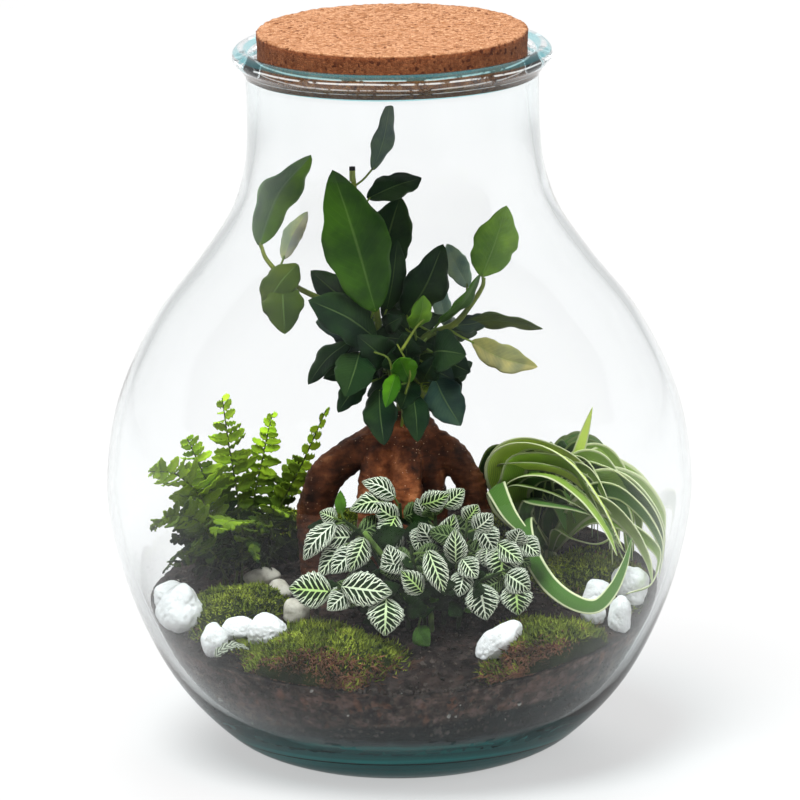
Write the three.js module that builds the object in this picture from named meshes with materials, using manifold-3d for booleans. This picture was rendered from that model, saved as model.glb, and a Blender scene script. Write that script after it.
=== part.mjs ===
// Closed glass terrarium: a pear-shaped jar of thick recycled glass with a cork in its neck. It holds
// drainage gravel, potting soil, a small ficus on arching roots, a sword fern, a nerve plant, a
// spider plant, moss cushions and pebbles. Millimetres, +Z up, front at -Y, origin at the centre of
// the ring that the jar stands on.
import * as THREE from 'three';
import { mergeVertices } from 'three/addons/utils/BufferGeometryUtils.js';
import Module from 'manifold-3d';

const wasm = await Module();
wasm.setup();
const { clamp, degToRad, lerp, smoothstep } = THREE.MathUtils;

// ---- Driving dimensions -------------------------------------------------------------------------
const SEGMENTS = 28; // round the jar, the cork and the two layers
const GAP = 0.4; // left between neighbouring pieces
const SEAT_GAP = 0.6; // from the corners of a stone or a cushion down to the soil

// Outer wall of the jar from its foot to its neck, [radius, height]
const FOOT_RADIUS = 64;
const JAR_OUTLINE = [
  [FOOT_RADIUS, 0], [84, 10], [109.5, 37], [129, 75], [139.5, 115], [140, 145], [133, 178],
  [116.5, 212], [94.5, 241], [79, 264], [72, 285], [70, 305], [70, 332],
];
const JAR_STEPS = 14;
const FOOT_INNER = 52; // inner edge of the flat ring under the jar
const PUNT = 3; // rise of the middle of the jar's underside
const FLOOR = 11; // thickness of the glass floor in the middle
const FLOOR_RADIUS = 46;
const WALL = 4;
const WALL_FOOT = 5; // more wall near the floor
const WALL_NECK = 2; // more wall in the neck
const RIM_RADIUS = 72.3; // middle of the rolled rim
const RIM_HEIGHT = 341;
const RIM_BEAD = 4.2;

const CORK_TOP = 353;
const CORK_BOTTOM = 333;
const CORK_TOP_RADIUS = 65;
const CORK_BOTTOM_RADIUS = 64.5;

const GRAVEL_TOP = 30.5;
const SOIL_BACK = 86; // height of the soil at the middle and the back
const SOIL_FALL = 28; // how far it falls towards the front wall
const HOLE_DEPTH = 9; // of the plain holes that stems and roots stand in

const LEAF_THICK = 0.8;
const STALK_THICK = 1.3;
const WALL_CLEAR = 1.2; // leaves that reach the wall lie along it, this far off the glass

// ---- Colours and finishes -----------------------------------------------------------------------
const finish = (color, roughness, extra = {}) => (
  new THREE.MeshStandardMaterial({ color, roughness, metalness: 0, ...extra })
);
const GLASS = finish(0xd6eef2, 0.04, { transparent: true, opacity: 0.25 });
const CORK = finish(0xb98655, 0.9);
const GRAVEL = finish(0x1f2a2c, 0.85);
const SOIL = finish(0x3d3731, 0.95);
const MOSS = finish(0x5b6f2c, 0.95);
const WHITE_STONE = finish(0xeeeeea, 0.8);
const GREY_STONE = finish(0xa39d90, 0.85);
const BARK = finish(0x5a2e1c, 0.85);
const FICUS_LEAF = finish(0x21451f, 0.45);
const FERN_LEAF = finish(0x4f8c1e, 0.6);
const NERVE_LEAF = finish(0x3c5c33, 0.6);
const SPIDER_LEAF = finish(0x86a552, 0.5);
const DRY_LEAF = finish(0x7c8563, 0.8);

// ---- Solids: closed meshes joined and cut -------------------------------------------------------
function welded(source) {
  const bare = source.clone();
  bare.deleteAttribute('normal');
  bare.deleteAttribute('uv');
  return mergeVertices(bare, 1e-4);
}

function toSolid(source) {
  const merged = welded(source);
  const corners = merged.index.array;
  const kept = [];
  for (let i = 0; i < corners.length; i += 3) {
    const [a, b, c] = [corners[i], corners[i + 1], corners[i + 2]];
    if (a !== b && b !== c && c !== a) kept.push(a, b, c);
  }
  return new wasm.Manifold(new wasm.Mesh({
    numProp: 3,
    vertProperties: new Float32Array(merged.attributes.position.array),
    triVerts: new Uint32Array(kept),
  }));
}

function toGeometry(solid) {
  const mesh = solid.getMesh();
  const geometry = new THREE.BufferGeometry();
  geometry.setAttribute('position', new THREE.BufferAttribute(new Float32Array(mesh.vertProperties), 3));
  geometry.setIndex(new THREE.BufferAttribute(new Uint32Array(mesh.triVerts), 1));
  geometry.computeVertexNormals();
  return geometry;
}

// The largest whole body of a solid: loose scraps and sealed hollows are left out, and so are
// edges that stand out by less than the tolerance.
function wholeBody(solid, tolerance = 0.01) {
  const bodies = solid.decompose();
  bodies.sort((a, b) => b.volume() - a.volume());
  return bodies[0].simplify(tolerance);
}

const joined = (geometries) => geometries.map(toSolid).reduce((sum, next) => sum.add(next));
const fused = (geometries) => toGeometry(wholeBody(joined(geometries), 0.15));

// ---- Curves -------------------------------------------------------------------------------------
const vector = (p) => new THREE.Vector3(...p);
const smooth = (points) => new THREE.CatmullRomCurve3(points.map(vector), false, 'catmullrom', 0.5);

// The sideways direction of a leaf that grows along `along` and faces the front, turned by `roll`.
const FRONT = new THREE.Vector3(0, -0.97, 0.24);
function sideways(along, roll) {
  const forward = along.clone().normalize();
  const facing = FRONT.clone().addScaledVector(forward, -FRONT.dot(forward)).normalize();
  return forward.clone().cross(facing).applyAxisAngle(forward, degToRad(roll));
}

// Even steps along a curve, each with its place, side and normal. The side is carried along, so the
// blade does not twist except by `twist` degrees from end to end.
function stationsOf(points, roll, steps, twist = 0) {
  const fine = 6;
  const curve = smooth(points);
  const side = sideways(curve.getTangent(0), roll);
  const rows = [];
  for (let i = 0; i <= steps * fine; i += 1) {
    const t = i / (steps * fine);
    const along = curve.getTangent(t);
    side.addScaledVector(along, -side.dot(along)).normalize();
    if (i % fine === 0) {
      const turned = side.clone().applyAxisAngle(along, degToRad(twist * t));
      rows.push({ t, at: curve.getPoint(t), along, side: turned, normal: turned.clone().cross(along) });
    }
  }
  return rows;
}

// ---- The room inside the jar --------------------------------------------------------------------
const outerWall = new THREE.SplineCurve(JAR_OUTLINE.map(([r, z]) => new THREE.Vector2(r, z)))
  .getSpacedPoints(JAR_STEPS);

function innerWall() {
  const points = [new THREE.Vector2(0, FLOOR), new THREE.Vector2(FLOOR_RADIUS, FLOOR + 0.3)];
  outerWall.forEach((p, i) => {
    const next = outerWall[Math.min(i + 1, JAR_STEPS)];
    const last = outerWall[Math.max(i - 1, 0)];
    const along = next.clone().sub(last).normalize();
    const wall = WALL + WALL_FOOT * Math.exp(-p.y / 18) + WALL_NECK * smoothstep(p.y, 280, 325);
    const inner = new THREE.Vector2(p.x - along.y * wall, p.y + along.x * wall);
    if (inner.y > FLOOR + 3) points.push(inner);
  });
  return points;
}
const INNER_WALL = innerWall();

// Radius of the inner wall at a height.
function roomRadius(z) {
  const i = INNER_WALL.findIndex((p) => p.y >= z);
  if (i < 1) return i === 0 ? 0 : INNER_WALL[INNER_WALL.length - 1].x;
  const [a, b] = [INNER_WALL[i - 1], INNER_WALL[i]];
  return lerp(a.x, b.x, (z - a.y) / (b.y - a.y));
}

// Moves a point that comes near the glass back inside, without bringing two points together.
const WALL_SOFTNESS = 5;
function keepInside(p) {
  const reach = Math.hypot(p.x, p.y);
  const limit = roomRadius(p.z) * Math.cos(Math.PI / SEGMENTS) - WALL_CLEAR - WALL_SOFTNESS;
  if (reach <= limit) return;
  const pressed = limit + WALL_SOFTNESS * (1 - Math.exp((limit - reach) / WALL_SOFTNESS));
  p.x *= pressed / reach;
  p.y *= pressed / reach;
}

function movePoints(geometry, move) {
  const places = geometry.attributes.position;
  const p = new THREE.Vector3();
  for (let i = 0; i < places.count; i += 1) {
    p.fromBufferAttribute(places, i);
    move(p, i);
    places.setXYZ(i, p.x, p.y, p.z);
  }
  return geometry;
}

// Height of the soil: mounded at the back and the middle, lower at the sides and the front wall.
function soilTop(x, y) {
  const toFront = clamp((12 - y) / 125, 0, 1);
  const side = Math.abs(x) / 120;
  const lumps = 0.8 * Math.sin(x / 23 + 1.2) * Math.cos(y / 27);
  return SOIL_BACK - SOIL_FALL * toFront ** 1.45 - (x < 0 ? 12 : 6) * side ** 3 + lumps;
}

// ---- Building blocks ----------------------------------------------------------------------------
const turned = (points) => new THREE.LatheGeometry(points, SEGMENTS).rotateX(Math.PI / 2);

// A round limb through rows of places and sides, with a radius for each row.
function limb(rows, radii, sides) {
  const bar = new THREE.CylinderGeometry(1, 1, 1, sides, rows.length - 1);
  return movePoints(bar, (p) => {
    const place = (p.y + 0.5) * (rows.length - 1);
    const row = rows[Math.round(place)];
    const radius = radii[Math.round(place)];
    const across = row.side.clone().multiplyScalar(p.x * radius);
    const over = row.side.clone().cross(row.along).multiplyScalar(p.z * radius);
    p.copy(row.at).add(across).add(over);
  });
}

// A stem along a curve that thins from its foot to its end. `foot` is how far it runs straight down.
function stem(points, startRadius, endRadius, steps, foot, sides = 5) {
  const rows = stationsOf(points, 0, steps);
  const radii = rows.map((row) => lerp(startRadius, endRadius, row.t));
  if (foot > 0) {
    const up = new THREE.Vector3(0, 0, 1);
    const side = new THREE.Vector3(1, 0, 0);
    const base = vector(points[0]);
    rows.splice(0, 1, { at: base, along: up, side });
    rows.unshift({ at: base.clone().setZ(base.z - foot), along: up, side });
    radii.unshift(startRadius);
  }
  return limb(rows, radii, sides);
}

// A thin closed plate: faces over the points, the same faces below them, and a rim between.
function plate(points, normals, halves, faces) {
  const count = points.length;
  const places = [];
  [1, -1].forEach((way) => {
    points.forEach((p, i) => {
      places.push(...p.clone().addScaledVector(normals[i], way * halves[i]).toArray());
    });
  });
  const edges = new Set(faces.flatMap(([a, b, c]) => [`${a} ${b}`, `${b} ${c}`, `${c} ${a}`]));
  const corners = [];
  faces.forEach(([a, b, c]) => corners.push(a, b, c, a + count, c + count, b + count));
  edges.forEach((edge) => {
    const [a, b] = edge.split(' ').map(Number);
    if (!edges.has(`${b} ${a}`)) corners.push(a, a + count, b + count, a, b + count, b);
  });
  const geometry = new THREE.BufferGeometry();
  geometry.setAttribute('position', new THREE.Float32BufferAttribute(places, 3));
  geometry.setIndex(corners);
  return geometry;
}

// A leaf blade over rows of stations. `half` gives half the width at t and `fold` lifts the edges.
function blade(rows, half, fold, thickness) {
  const points = [];
  const normals = [];
  const halves = [];
  const faces = [];
  const columns = fold === 0 ? [-1, 1] : [-1, 0, 1];
  rows.forEach((row, i) => {
    const width = half(row.t);
    columns.forEach((place, j) => {
      points.push(row.at.clone().addScaledVector(row.side, place * width)
        .addScaledVector(row.normal, Math.abs(place) * fold * width));
      normals.push(row.normal);
      halves.push(thickness(row.t) / 2);
      if (i === 0 || j === 0) return;
      const here = i * columns.length + j;
      const below = here - columns.length;
      faces.push([below - 1, below, here], [below - 1, here, here - 1]);
    });
  });
  return movePoints(plate(points, normals, halves, faces), keepInside);
}

// A leaf on its stalk. The stalk starts at `from` in the stem and the blade arches from base to tip.
function leaf(from, [base, tip, width, roll, arch], steps, fold, outline) {
  const start = vector(base);
  const end = vector(tip);
  const along = end.clone().sub(start);
  const lift = along.clone().cross(sideways(along, roll)).setLength(-arch * along.length() || 0);
  const middle = start.clone().lerp(end, 0.5).add(lift);
  const rows = stationsOf([start, middle, end].map((p) => p.toArray()), roll, steps);
  rows.unshift({ ...rows[0], t: -1, at: from });
  const half = (t) => (t < 0 ? STALK_THICK / 2 : STALK_THICK / 2 + (width - STALK_THICK) / 2 * outline(t));
  return blade(rows, half, fold, (t) => (t <= 0 ? STALK_THICK : LEAF_THICK));
}

// The point of a stem nearest to a leaf's base, a little lower so that its stalk rises.
function stalkFoot(points, base) {
  const curve = smooth(points);
  let best = 0;
  for (let i = 1; i <= 60; i += 1) {
    const nearer = curve.getPoint(i / 60).distanceTo(base) < curve.getPoint(best).distanceTo(base);
    if (nearer) best = i / 60;
  }
  return curve.getPoint(Math.max(best - 0.06, 0.02));
}

// A leafy shoot: its stems and all the leaves on them in one body. Small leaves are flat across.
const SMALL_LEAF = 19;
function shoot(stems, leaves, steps, fold, outline, sides) {
  const solids = stems.map((s) => stem(s.path, s.start, s.end, s.steps, s.foot, sides));
  leaves.forEach((row) => {
    const base = vector(row[0]);
    const feet = stems.map((s) => stalkFoot(s.path, base));
    feet.sort((a, b) => a.distanceTo(base) - b.distanceTo(base));
    solids.push(leaf(feet[0], row, steps, row[2] < SMALL_LEAF ? 0 : fold, outline));
  });
  return fused(solids);
}

// ---- Jar, cork, gravel and soil -----------------------------------------------------------------
function jar() {
  const profile = [
    new THREE.Vector2(0, PUNT), new THREE.Vector2(FOOT_INNER - 14, PUNT), new THREE.Vector2(FOOT_INNER, 0),
    ...outerWall,
  ];
  const beadSteps = 4;
  for (let i = 0; i <= beadSteps; i += 1) {
    const angle = degToRad(lerp(-65, 150, i / beadSteps));
    profile.push(new THREE.Vector2(
      RIM_RADIUS + RIM_BEAD * Math.cos(angle),
      RIM_HEIGHT + RIM_BEAD * Math.sin(angle),
    ));
  }
  return turned([...profile, ...INNER_WALL.slice().reverse()]);
}

function cork() {
  const bevel = 1;
  return turned([
    new THREE.Vector2(0, CORK_BOTTOM), new THREE.Vector2(CORK_BOTTOM_RADIUS - bevel, CORK_BOTTOM),
    new THREE.Vector2(CORK_BOTTOM_RADIUS, CORK_BOTTOM + bevel),
    new THREE.Vector2(CORK_TOP_RADIUS, CORK_TOP - bevel),
    new THREE.Vector2(CORK_TOP_RADIUS - bevel, CORK_TOP), new THREE.Vector2(0, CORK_TOP),
  ]);
}

// The inner wall's own points between two heights, moved off the glass.
function wallBetween(low, high) {
  const off = GAP * 0.9;
  return [
    new THREE.Vector2(roomRadius(low + off) - off, low),
    ...INNER_WALL.filter((p) => p.y > low + 2 && p.y < high - 2)
      .map((p) => new THREE.Vector2(p.x - off, p.y + off)),
    new THREE.Vector2(roomRadius(high) - off, high),
  ];
}

function gravel() {
  const lift = GAP;
  const corner = INNER_WALL[2];
  return turned([
    new THREE.Vector2(0, FLOOR + lift), new THREE.Vector2(FLOOR_RADIUS, FLOOR + 0.3 + lift),
    new THREE.Vector2(corner.x - lift, corner.y + lift),
    ...wallBetween(corner.y + 3, GRAVEL_TOP).slice(1),
    new THREE.Vector2(60, GRAVEL_TOP), new THREE.Vector2(0, GRAVEL_TOP),
  ]);
}

// Soil as one lathed body whose top is then moved to the mound's height.
const SOIL_RINGS = [0.88, 0.72, 0.55, 0.36, 0.18, 0];
const SOIL_WALL_STEPS = 3;
function soilMound() {
  const bottom = GRAVEL_TOP + GAP;
  const roles = [{ ring: 0, level: 0 }, { ring: 0.6, level: 0 }];
  for (let i = 0; i <= SOIL_WALL_STEPS; i += 1) roles.push({ ring: 1, level: i / SOIL_WALL_STEPS });
  SOIL_RINGS.forEach((ring) => roles.push({ ring, level: 1 }));
  const shape = turned(roles.map(({ ring, level }) => new THREE.Vector2(ring * 100, level)));
  return movePoints(shape, (p, i) => {
    const { ring, level } = roles[i % roles.length];
    const angle = Math.atan2(p.y, p.x);
    let edge = roomRadius(70) - GAP;
    for (let pass = 0; pass < 6; pass += 1) {
      edge = roomRadius(soilTop(edge * Math.cos(angle), edge * Math.sin(angle))) - GAP;
    }
    const top = soilTop(edge * Math.cos(angle), edge * Math.sin(angle));
    if (level < 1) {
      p.z = lerp(bottom, top, level);
      const reach = (roomRadius(p.z) - GAP) * ring;
      p.x = reach * Math.cos(angle);
      p.y = reach * Math.sin(angle);
      return;
    }
    p.x = ring * edge * Math.cos(angle);
    p.y = ring * edge * Math.sin(angle);
    p.z = soilTop(p.x, p.y);
  });
}

// A plain hole for a stem or a root foot, standing at x, y.
function hole(x, y, radius, sides = 5, depth = HOLE_DEPTH) {
  const low = soilTop(x, y) - depth - GAP;
  const high = soilTop(x, y) + 12;
  return new THREE.CylinderGeometry(radius, radius, high - low, sides)
    .rotateX(Math.PI / 2).translate(x, y, (low + high) / 2);
}

// ---- Stones -------------------------------------------------------------------------------------
// name, x, y, half sizes, turn about Z, lean about Y, seed
const STONES = [
  ['white_stone_1', -105, -37, 11, 11.5, 12.5, 20, 0, 1],
  ['white_stone_2', -112, -12, 8, 9, 7, 0, 0, 2],
  ['white_stone_3', -88, -70, 6.5, 7, 9.5, 0, -8, 3],
  ['white_stone_4', -77, -58, 8.5, 6, 6, 10, 0, 4],
  ['white_stone_5', -64, -68, 9.5, 8, 8.5, 0, 10, 5],
  ['white_stone_6', 46, -83, 12.5, 8, 8, 0, -42, 6],
  ['white_stone_7', 94, -31, 7, 7, 7, 0, 0, 7],
  ['white_stone_8', 110, -24, 8.5, 9.5, 10.5, 0, 0, 8],
  ['white_stone_9', 91, -51, 5.6, 6, 8, 0, 0, 9],
  ['white_stone_10', 103, -54, 5.6, 6.5, 9, 0, 8, 10],
  ['grey_stone_1', -67, -6, 9, 7, 5.5, 15, 0, 11],
  ['grey_stone_2', -59, -21, 7, 6, 4.8, 0, 0, 12],
  ['grey_stone_3', -50, -47, 6.6, 6, 6.2, 0, 0, 13],
  ['speckled_stone', 81, -37, 5.5, 5.5, 4.5, 0, 0, 14],
];
const STONE_SINK = 0.2; // share of a stone's height that its flat underside cuts off

function stayAbove(p) {
  p.z = Math.max(p.z, soilTop(p.x, p.y) + SEAT_GAP);
}

function stone([, x, y, halfX, halfY, halfZ, turn, lean, seed], grow = 0) {
  const shape = welded(new THREE.IcosahedronGeometry(1, 1));
  movePoints(shape, (p) => {
    const lump = 1 + 0.1 * Math.sin(3.1 * p.x + seed * 1.7) * Math.cos(2.7 * p.y + seed)
      + 0.06 * Math.sin(4.3 * p.z + seed * 2.3);
    p.multiplyScalar(lump);
  });
  const low = Math.min(halfX, halfY, halfZ);
  const scale = 1 + grow / low;
  const reach = Math.hypot(halfZ * Math.cos(degToRad(lean)), halfX * Math.sin(degToRad(lean)));
  shape.scale(halfX * scale, halfY * scale, halfZ * scale)
    .rotateY(degToRad(lean)).rotateZ(degToRad(turn))
    .translate(x, y, soilTop(x, y) + reach * (1 - 2 * STONE_SINK));
  return movePoints(shape, stayAbove);
}

// ---- Moss ---------------------------------------------------------------------------------------
// name, x, y, half length, half width, height, turn, seed
const CUSHIONS = [
  ['moss_left', -79, -36, 22, 15, 12, 0, 1],
  ['moss_front_left', -40, -92, 33, 20, 12, 12, 2],
  ['moss_front_right', 73, -84, 27, 18, 11, 25, 3],
  ['moss_right', 88, -8, 22, 14, 10, 0, 4],
  ['moss_back_left', -38, 78, 30, 20, 9, -20, 5],
  ['moss_back_right', 52, 74, 26, 18, 9, 25, 6],
];
const MOSS_SECTORS = 12;

// A low dome with a lobed outline and a hummocky top, lying on the soil.
function cushion([, x, y, length, width, height, turn, seed]) {
  const profile = [[0, -1], [0.5, -1], [0.95, -1], [1, 0.25], [0.86, 0.62], [0.5, 0.92], [0, 1.04]];
  const dome = new THREE.LatheGeometry(profile.map(([r, z]) => new THREE.Vector2(r, z)), MOSS_SECTORS);
  const shape = welded(dome.rotateX(Math.PI / 2));
  const [c, s] = [Math.cos(degToRad(turn)), Math.sin(degToRad(turn))];
  return movePoints(shape, (p) => {
    const angle = Math.atan2(p.y, p.x);
    const lobe = 1 + 0.1 * Math.sin(3 * angle + seed) + 0.06 * Math.sin(5 * angle + 2 * seed);
    const [u, v] = [p.x * length * lobe, p.y * width * lobe];
    const hummock = p.z > 0 ? 0.12 * Math.sin(5 * p.x + seed) * Math.cos(4 * p.y + seed) : 0;
    p.x = x + c * u - s * v;
    p.y = y + s * u + c * v;
    p.z = soilTop(p.x, p.y) + height * (p.z + hummock);
    keepInside(p);
    stayAbove(p);
  });
}

// ---- Ficus --------------------------------------------------------------------------------------
// Roots from the crown to the ground: points, start radius, end radius
const ROOTS = [
  { path: [[-4, 6, 151], [-22, 2, 144], [-35, -2, 134], [-41, -5, 118], [-42, -8, 98],
    [-41, -9, 88]], start: 9.5, end: 7 },
  { path: [[-6, 2, 149], [-11, -7, 140], [-14, -14, 124], [-15, -19, 106],
    [-15, -21, 88]], start: 7.5, end: 5.5 },
  { path: [[4, 0, 150], [3, -9, 138], [4, -16, 122], [5, -20, 104], [5, -21, 88]], start: 8.5, end: 6 },
  { path: [[11, 4, 150], [14, 1, 138], [17, 0, 122], [18, -1, 104], [18, -1, 88]], start: 7.5, end: 5.5 },
  { path: [[12, 6, 149], [23, 4, 143], [32, 0, 134], [37, -4, 118], [38, -7, 102],
    [38, -8, 88]], start: 8.5, end: 6.5 },
  { path: [[2, 10, 149], [0, 22, 138], [-4, 31, 118], [-5, 35, 100], [-5, 36, 88]], start: 8.5, end: 6 },
];
const CROWN = { path: [[-15, 6, 146], [-6, 6, 151], [8, 6, 153], [17, 6, 148]], start: 11, end: 9.5 };
const ROOT_SIDES = 8;

// Where the shoots stand on the crown: x, y, radius
const SHOOT_FEET = { left: [1, 10], right: [13, 7], front: [4, -1] };
const SHOOT_FOOT_HEIGHT = 160;
const SHOOT_FOOT = 4;
const SHOOT_RADIUS = 2.5;

function ficusTrunk() {
  const limbs = ROOTS.map((root) => {
    const [x, y] = root.path[root.path.length - 1];
    const points = root.path.slice(0, -1).concat([[x, y, soilTop(x, y) + 5]]);
    const rows = stationsOf(points, 0, 5);
    const radii = rows.map((row) => lerp(root.start, root.end, row.t) * (1 + 0.06 * Math.sin(9 * row.t + x)));
    const foot = new THREE.Vector3(x, y, soilTop(x, y) - HOLE_DEPTH);
    const last = rows[rows.length - 1];
    const down = new THREE.Vector3(0, 0, -1);
    const level = last.side.clone().setZ(0).normalize();
    rows.push({ at: foot, along: down, side: level });
    radii.push(root.end * 0.92);
    return limb(rows, radii, ROOT_SIDES);
  });
  const crownRows = stationsOf(CROWN.path, 0, 4);
  const crown = limb(crownRows, [5, 10.5, 11.5, 10.5, 5], ROOT_SIDES);
  const holes = Object.values(SHOOT_FEET).map(([x, y]) => (
    new THREE.CylinderGeometry(SHOOT_RADIUS + GAP, SHOOT_RADIUS + GAP, 20, 5)
      .rotateX(Math.PI / 2).translate(x, y, SHOOT_FOOT_HEIGHT - SHOOT_FOOT - GAP + 10)
  ));
  return toGeometry(wholeBody(joined([...limbs, crown]).subtract(joined(holes))));
}

// Leaves: base, tip, width, roll, arch
const LEFT_SHOOT = {
  stems: [
    { path: [[1, 10, 160], [1, 10, 170], [-4, 8, 184], [-9, 4, 196], [-9, 4, 208], [-13, 8, 234],
      [-18, 10, 263], [-20, 10, 285]],
      start: SHOOT_RADIUS, end: 1.5, steps: 8, foot: SHOOT_FOOT },
    { path: [[-9, 4, 200], [-29, -6, 218], [-50, -10, 231], [-61, -8, 242], [-64, -8, 250]],
      start: 1.8, end: 1.1, steps: 6, foot: 0 },
  ],
  leaves: [
    [[-10, -13, 217], [-29, -22, 291], 32, 8, 0.04],
    [[-13, 7, 270], [13, -4, 283], 17, 25, -0.1],
    [[-8, 15, 226], [3, 25, 267], 24, -10, 0.1],
    [[-10, 10, 285], [-1, 8, 317], 12, 45, 0.05],
    [[-5, 7, 212], [1, 2, 249], 14, 10, 0.1],
    [[-65, -9, 250], [-39, -14, 297], 24, 40, -0.13],
    [[-54, 4, 240], [-42, 12, 262], 12, -30, 0.1],
    [[-47, -12, 241], [-63, -22, 220], 17, 20, 0.15],
    [[-54, -17, 232], [-53, -34, 212], 20, 0, 0.15],
    [[-10, -8, 203], [-42, -20, 225], 24, 25, 0.1],
    [[-11, 6, 212], [-41, 4, 234], 21, -25, 0.12],
    [[-22, 6, 199], [-43, -4, 180], 14, 40, 0.12],
    [[-18, -14, 198], [-25, -30, 180], 20, -5, 0.15],
    [[-16, -2, 180], [-29, -12, 168], 12, 30, 0.12],
    [[-22, 14, 196], [-37, 22, 178], 11, -30, 0.12],
    [[-1, -4, 192], [-19, -18, 207], 17, -20, 0.15],
    [[4, 16, 186], [16, 30, 203], 16, 10, 0.15],
  ],
};
const RIGHT_SHOOT = {
  stems: [
    { path: [[13, 7, 163], [11, 5, 173], [8, 3, 186], [13, 0, 201], [27, 0, 207], [35, -2, 216],
      [41, -4, 226], [42, -5, 231]],
      start: SHOOT_RADIUS - 0.2, end: 1.1, steps: 8, foot: SHOOT_FOOT },
  ],
  leaves: [
    [[4, 8, 209], [23, 4, 246], 22, 25, 0.1],
    [[8, -10, 208], [13, -18, 226], 13, 35, 0.12],
    [[41, -6, 232], [53, -14, 269], 22, 15, 0.08],
    [[35, 16, 222], [25, 26, 241], 12, -10, 0.1],
    [[24, 14, 203], [18, 26, 226], 10, 10, 0.1],
    [[20, -4, 209], [40, -10, 234], 12, 62, 0.1],
    [[31, 2, 208], [70, -6, 206], 13, 64, -0.06],
    [[36, -4, 200], [67, -16, 190], 15, 30, 0.12],
    [[22, 9, 203], [39, 18, 199], 10, 10, 0.1],
    [[18, -8, 183], [30, -22, 163], 20, 10, 0.15],
    [[17, -8, 196], [33, -26, 199], 21, -10, 0.2],
    [[27, 8, 184], [32, 4, 165], 11, 56, 0.1],
    [[16, 14, 192], [27, 27, 176], 17, 10, 0.15],
    [[4, -3, 190], [3, -19, 208], 14, 15, 0.12],
  ],
};
const FRONT_SHOOT = {
  stems: [
    { path: [[4, -1, 159], [3, -7, 168], [1, -12, 178], [-1, -18, 188]],
      start: SHOOT_RADIUS - 0.4, end: 1.2, steps: 4, foot: SHOOT_FOOT - 1 },
  ],
  leaves: [
    [[-9, -17, 181], [-7, -30, 156], 17, 8, 0.15],
    [[-1, -22, 189], [-6, -36, 176], 9, 0, 0.12],
    [[7, -15, 178], [9, -29, 157], 14, -8, 0.15],
    [[6, -17, 184], [1, -30, 199], 13, 0, -0.1],
  ],
};
const FICUS_STEPS = 4;
const FICUS_FOLD = 0.16;
const ficusOutline = (t) => Math.sin(Math.PI * clamp(t, 0, 1) ** 0.92) ** 0.8;

// ---- Fern ---------------------------------------------------------------------------------------
// Foot x, y, then the points of the arching rib, leaflet length, roll and twist
const FRONDS = [
  { foot: [-79, 24], path: [[-79, 24, 117], [-82, 22, 143], [-85, 14, 170]], leaflet: 13, roll: 10 },
  { foot: [-73, 28], path: [[-71, 31, 115], [-66, 34, 136], [-61, 37, 156]], leaflet: 11, roll: -15 },
  { foot: [-69, 17], path: [[-58, 18, 114], [-47, 17, 136], [-35, 13, 163]], leaflet: 8, roll: 20 },
  { foot: [-84, 16], path: [[-87, 12, 114], [-95, 5, 136], [-102, 0, 154]], leaflet: 14, roll: -8 },
  { foot: [-86, 10], path: [[-92, 2, 117], [-106, -7, 137], [-120, -13, 141]], leaflet: 16, roll: -12 },
  { foot: [-86, 3], path: [[-94, -10, 112], [-108, -20, 121], [-119, -27, 116]], leaflet: 15, roll: -12 },
  { foot: [-84, -2], path: [[-92, -18, 103], [-104, -31, 106], [-113, -38, 98]], leaflet: 12, roll: -14 },
  { foot: [-77, 0], path: [[-76, -14, 112], [-81, -26, 119], [-89, -37, 116]], leaflet: 12, roll: -20 },
  { foot: [-70, 8], path: [[-64, 2, 108], [-60, -4, 119], [-55, -12, 118]], leaflet: 11, roll: 15 },
  { foot: [-70, 32], path: [[-61, 44, 110], [-52, 54, 123], [-46, 62, 126]], leaflet: 11, roll: 0 },
  { foot: [-78, 36], path: [[-87, 48, 113], [-94, 57, 122], [-98, 64, 116]], leaflet: 10, roll: 0 },
  { foot: [-80, -9], path: [[-76, -16, 106], [-71, -24, 107], [-69, -33, 101]], leaflet: 7, roll: 20 },
];
const LEAFLET_PAIRS = 7;
const RIB_HALF = 0.65;
const BARE_STALK = 0.2; // share of the rib that carries no leaflets
const FERN_HOLE = 2.1;

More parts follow.
